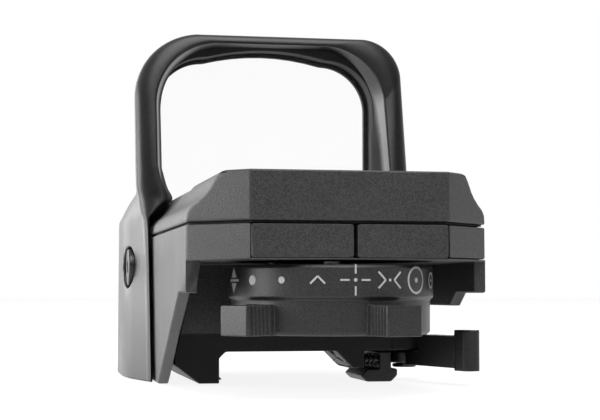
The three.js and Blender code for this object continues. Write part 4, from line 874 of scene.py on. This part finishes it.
# %% Socket screws
SCREWS = [
    # nodes, way that the head looks, head radius and height, shank radius, socket radius and depth, corner
    ([f"cover_screw_{i}" for i in (1, 2, 3, 4)], (0, 0, 1), 1.9, 1.4, 0.95, 0.8, 0.8, 0.14),
    ([f"base_screw_{i}" for i in (1, 2, 3, 4)], (0, 0, -1), 2.7, 1.6, 1.45, 1.2, 1.0, 0.18),
    (["drum_screw"], (0, 0, -1), 2.4, 1.1, 0.7, 0.8, 0.7, 0.14),
    (["hood_screw_left"], (-1, 0, 0), 3.05, 1.3, 1.45, 1.3, 0.8, 0.22),
    (["hood_screw_right"], (1, 0, 0), 3.05, 1.3, 1.45, 1.3, 0.8, 0.22),
]
tree, keys = screw_tree(blackened)
for names, way, head, height, shank, socket, depth, corner in SCREWS:
    way = Vector(way)
    for name in names:
        low, high = extent(name)
        span = abs((high - low).dot(way))
        seat = (low + high) / 2 + way * (span / 2 - height)
        piece = grow(
            name, tree, keys,
            {
                "Head Radius": head, "Head Height": height, "Shank Radius": shank,
                "Shank Length": span - height,
                "Socket Radius": socket, "Socket Depth": depth, "Sides": 48,
            },
            Vector((0, 0, 1)).rotation_difference(way), seat,
        )
        finish_edges(piece, corner)
        stand_in(piece, name)
print("faces of the last screw", len(piece.data.polygons))

# %% Coil springs
SPRINGS = [
    # node, way that it points, coil radius to the wire's middle, wire radius, turns
    ("jaw_spring_1", (1, 0, 0), 0.885, 0.16, 6),
    ("jaw_spring_2", (1, 0, 0), 0.885, 0.16, 6),
    ("windage_spring", (1, 0, 0), 1.28, 0.2, 11),
    ("detent_spring", (0, 0, 1), 0.67, 0.12, 5),
]
tree, keys = spring_tree(blackened)
for name, way, coil, wire, turns in SPRINGS:
    way = Vector(way)
    low, high = extent(name)
    span = abs((high - low).dot(way))
    piece = grow(
        name, tree, keys,
        {"Coil Radius": coil, "Wire Radius": wire, "Length": span - 2 * wire, "Turns": turns, "Sides": 20},
        Vector((0, 0, 1)).rotation_difference(way), (low + high) / 2 - way * (span / 2 - wire),
    )
    for face in piece.data.polygons:
        face.use_smooth = True
    stand_in(piece, name)
    if name.startswith("jaw_spring"):
        anchor = (low + high) / 2 - way * (span / 2)
        tuple(anchor * MM)
        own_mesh(piece)
print("faces of the last spring", len(piece.data.polygons))

# %% [markdown]
# ## The reticle symbols
# The drum's rim carries eight small printed symbols, one for each setting. A picture could be wrapped
# round it, but drawn outlines stay crisp at any size, so each symbol is a set of flat strokes that are
# cut into short steps and laid on the cylinder.

# %% Strokes on a cylinder
DRUM_DEPTH = 12.6
DRUM_RADIUS = 14.2
SYMBOL_HEIGHT = 10.9
PAINT = 0.03  # how far the paint stands out


def bar(u0, v0, u1, v1, width):
    """The corners of a straight stroke between two points."""
    length = hypot(u1 - u0, v1 - v0)
    nu, nv = -(v1 - v0) / length * width / 2, (u1 - u0) / length * width / 2
    return [(u0 + nu, v0 + nv), (u0 - nu, v0 - nv), (u1 - nu, v1 - nv), (u1 + nu, v1 + nv)]


def disc(radius, u=0.0, v=0.0, sides=20):
    return [(u + radius * cos(2 * pi * i / sides), v + radius * sin(2 * pi * i / sides)) for i in range(sides)]


def ring(radius, width, sides=32):
    strokes = []
    for i in range(sides):
        a, b = 2 * pi * i / sides, 2 * pi * (i + 1) / sides
        inner, outer = radius - width / 2, radius + width / 2
        strokes.append([
            (inner * cos(a), inner * sin(a)), (outer * cos(a), outer * sin(a)),
            (outer * cos(b), outer * sin(b)), (inner * cos(b), inner * sin(b)),
        ])
    return strokes


def cross(reach, gap, width):
    return [
        bar(gap, 0, reach, 0, width), bar(-gap, 0, -reach, 0, width),
        bar(0, gap, 0, reach, width), bar(0, -gap, 0, -reach, width),
    ]


def peak(u, v, width, reach):
    """Two strokes that run down from one point."""
    return [bar(u, v, u + side * reach, v - reach, width) for side in (-1, 1)]


def arrow(u, way, width, reach):
    """Two strokes that open to the left (-1) or to the right (1) from one point."""
    return [bar(u, 0, u + way * reach, side * reach, width) for side in (-1, 1)]


# %% The eight symbols
STROKE = 0.24
PITCH = 20  # degrees from one symbol to the next
FIRST_SYMBOL = -79.1  # degrees from the middle of the eye side
SYMBOLS = [
    [
        [(-0.95, 0.38), (0.95, 0.38), (0, 1.7)], [(-0.95, -0.38), (0, -1.7), (0.95, -0.38)],
        bar(-1.6, 0, 1.6, 0, 0.34),
    ],
    [disc(0.66)],
    [disc(0.46)],
    peak(0, 0.5, STROKE, reach=0.97),
    [*cross(2.02, 0.8, STROKE), disc(0.24)],
    [*arrow(-0.69, -1, STROKE, reach=1.08), *arrow(0.69, 1, STROKE, reach=1.08), disc(0.2)],
    [*ring(1.7, 0.3), disc(0.34)],
    [*ring(1.0, STROKE), disc(0.2)],
]
print("symbols", len(SYMBOLS))


# %% Symbols on the drum
CUTS = 9  # a stroke is cut this many times to each side of its symbol's middle
CUT_STEP = 0.25


def symbols_on_drum():
    shape = bmesh.new()
    radius = DRUM_RADIUS + PAINT
    for place, strokes in enumerate(SYMBOLS):
        angle = FIRST_SYMBOL + place * PITCH
        for stroke in strokes:
            flat = bmesh.new()
            flat.faces.new([flat.verts.new((u, v, 0)) for u, v in stroke])
            for i in range(-CUTS, CUTS + 1):
                bmesh.ops.bisect_plane(
                    flat, geom=flat.verts[:] + flat.edges[:] + flat.faces[:],
                    plane_co=(i * CUT_STEP, 0, 0), plane_no=(1, 0, 0),
                )
            made = {}
            for vert in flat.verts:
                turn = radians(angle) + vert.co.x / DRUM_RADIUS
                made[vert] = shape.verts.new(at(
                    radius * sin(turn), DRUM_DEPTH - radius * cos(turn), SYMBOL_HEIGHT + vert.co.y,
                ))
            for face in flat.faces:
                new = shape.faces.new([made[v] for v in face.verts])
                new.normal_update()
                away = new.calc_center_median() - at(0, DRUM_DEPTH, SYMBOL_HEIGHT)
                away.z = 0
                if new.normal.dot(away) < 0:
                    new.normal_flip()
            flat.free()
    mesh = bpy.data.meshes.new("reticle_symbols")
    shape.to_mesh(mesh)
    shape.free()
    piece = link("reticle_symbols", mesh, symbol_paint)
    wall = piece.modifiers.new("paint", "SOLIDIFY")
    wall.thickness = PAINT * 1.5 * MM
    wall.offset = -1
    settle(piece)
    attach(piece, "drum")
    return piece


symbols = symbols_on_drum()
print("symbol faces", len(symbols.data.polygons))

# %% [markdown]
# ## Floor, background and light
# The photograph is a cut-out on white. A world that is white all round would light the parts too strongly
# and lay a grey gloss on every black face. So the world is white where the camera or the glass sees it, and
# weak as a light. In a reflection it is a studio with a white backdrop behind the sight and a dark room
# behind the camera. Three large lamps stand to the left, behind the left side and above. The floor keeps a
# faint shadow.

# %% Floor
FLOOR_HALF = 3.0
FLOOR_GAP = 0.1 * MM
low = cad_box[0][2] - FLOOR_GAP
floor_mesh = bpy.data.meshes.new("floor")
floor_mesh.from_pydata(
    [
        (-FLOOR_HALF, -FLOOR_HALF, low), (FLOOR_HALF, -FLOOR_HALF, low),
        (FLOOR_HALF, FLOOR_HALF, low), (-FLOOR_HALF, FLOOR_HALF, low),
    ],
    [], [(0, 1, 2, 3)],
)
floor_finish, tree = new_material("floor_white")
rays = node(tree, "ShaderNodeLightPath")
place = node(tree, "ShaderNodeTexCoord").value("Object")
dust = noise(tree, place, 40, 2.0)
seen = (rays.value("Is Camera Ray") + rays.value("Is Glossy Ray") + rays.value("Is Transmission Ray")).clamp()
diffuse = node(
    tree, "ShaderNodeBsdfDiffuse", {},
    {"Color": blend_colour(tree, dust, (0.30, 0.30, 0.30), (0.34, 0.34, 0.34))},
).value(0)
glow = node(tree, "ShaderNodeEmission", {}, {"Color": (1, 1, 1, 1), "Strength": seen * 0.88}).value(0)
both = node(tree, "ShaderNodeAddShader", {}, {0: diffuse, 1: glow}).value(0)
node(tree, "ShaderNodeOutputMaterial", {}, {"Surface": both})
floor = link("floor", floor_mesh, floor_finish)
print("floor at", low)

# %% World
SOFT_LIGHT = 0.3  # what the studio adds from all sides
world = bpy.data.worlds.new("world")
bpy.context.scene.world = world
world.use_nodes = True
tree = world.node_tree
tree.nodes.clear()
rays = node(tree, "ShaderNodeLightPath")
seen = (rays.value("Is Camera Ray") + rays.value("Is Transmission Ray")).clamp()
way = node(tree, "ShaderNodeSeparateXYZ", {}, {"Vector": node(tree, "ShaderNodeTexCoord").value("Generated")})
backdrop = (way.value("Y") * 0.7 - way.value("X") * 0.2 + 0.55).clamp()
gloss = rays.value("Is Glossy Ray") * (backdrop * 0.9 + 0.1 - SOFT_LIGHT)
strength = seen + (1 - seen) * (gloss + SOFT_LIGHT)
soft = node(tree, "ShaderNodeBackground", {}, {"Color": (1, 1, 1, 1), "Strength": strength}).value(0)
node(tree, "ShaderNodeOutputWorld", {}, {"Surface": soft})
print("world nodes", len(tree.nodes))

# %% Lamps
TARGET = (0, 0, 0.02)


def lamp(name, place, size, power):
    data = bpy.data.lights.new(name, "AREA")
    data.shape = "SQUARE"
    data.size = size
    data.energy = power
    made = bpy.data.objects.new(name, data)
    made.location = place
    made.rotation_euler = (Vector(TARGET) - Vector(place)).to_track_quat("-Z", "Y").to_euler()
    bpy.context.scene.collection.objects.link(made)
    print(name, power, "W")


lamp("left_lamp", (-0.78, 0.10, 0.10), 0.5, 5.0)
lamp("left_front_lamp", (-0.5, 0.75, 0.25), 0.5, 2.0)
lamp("top_lamp", (0.05, -0.42, 0.75), 0.6, 5.2)
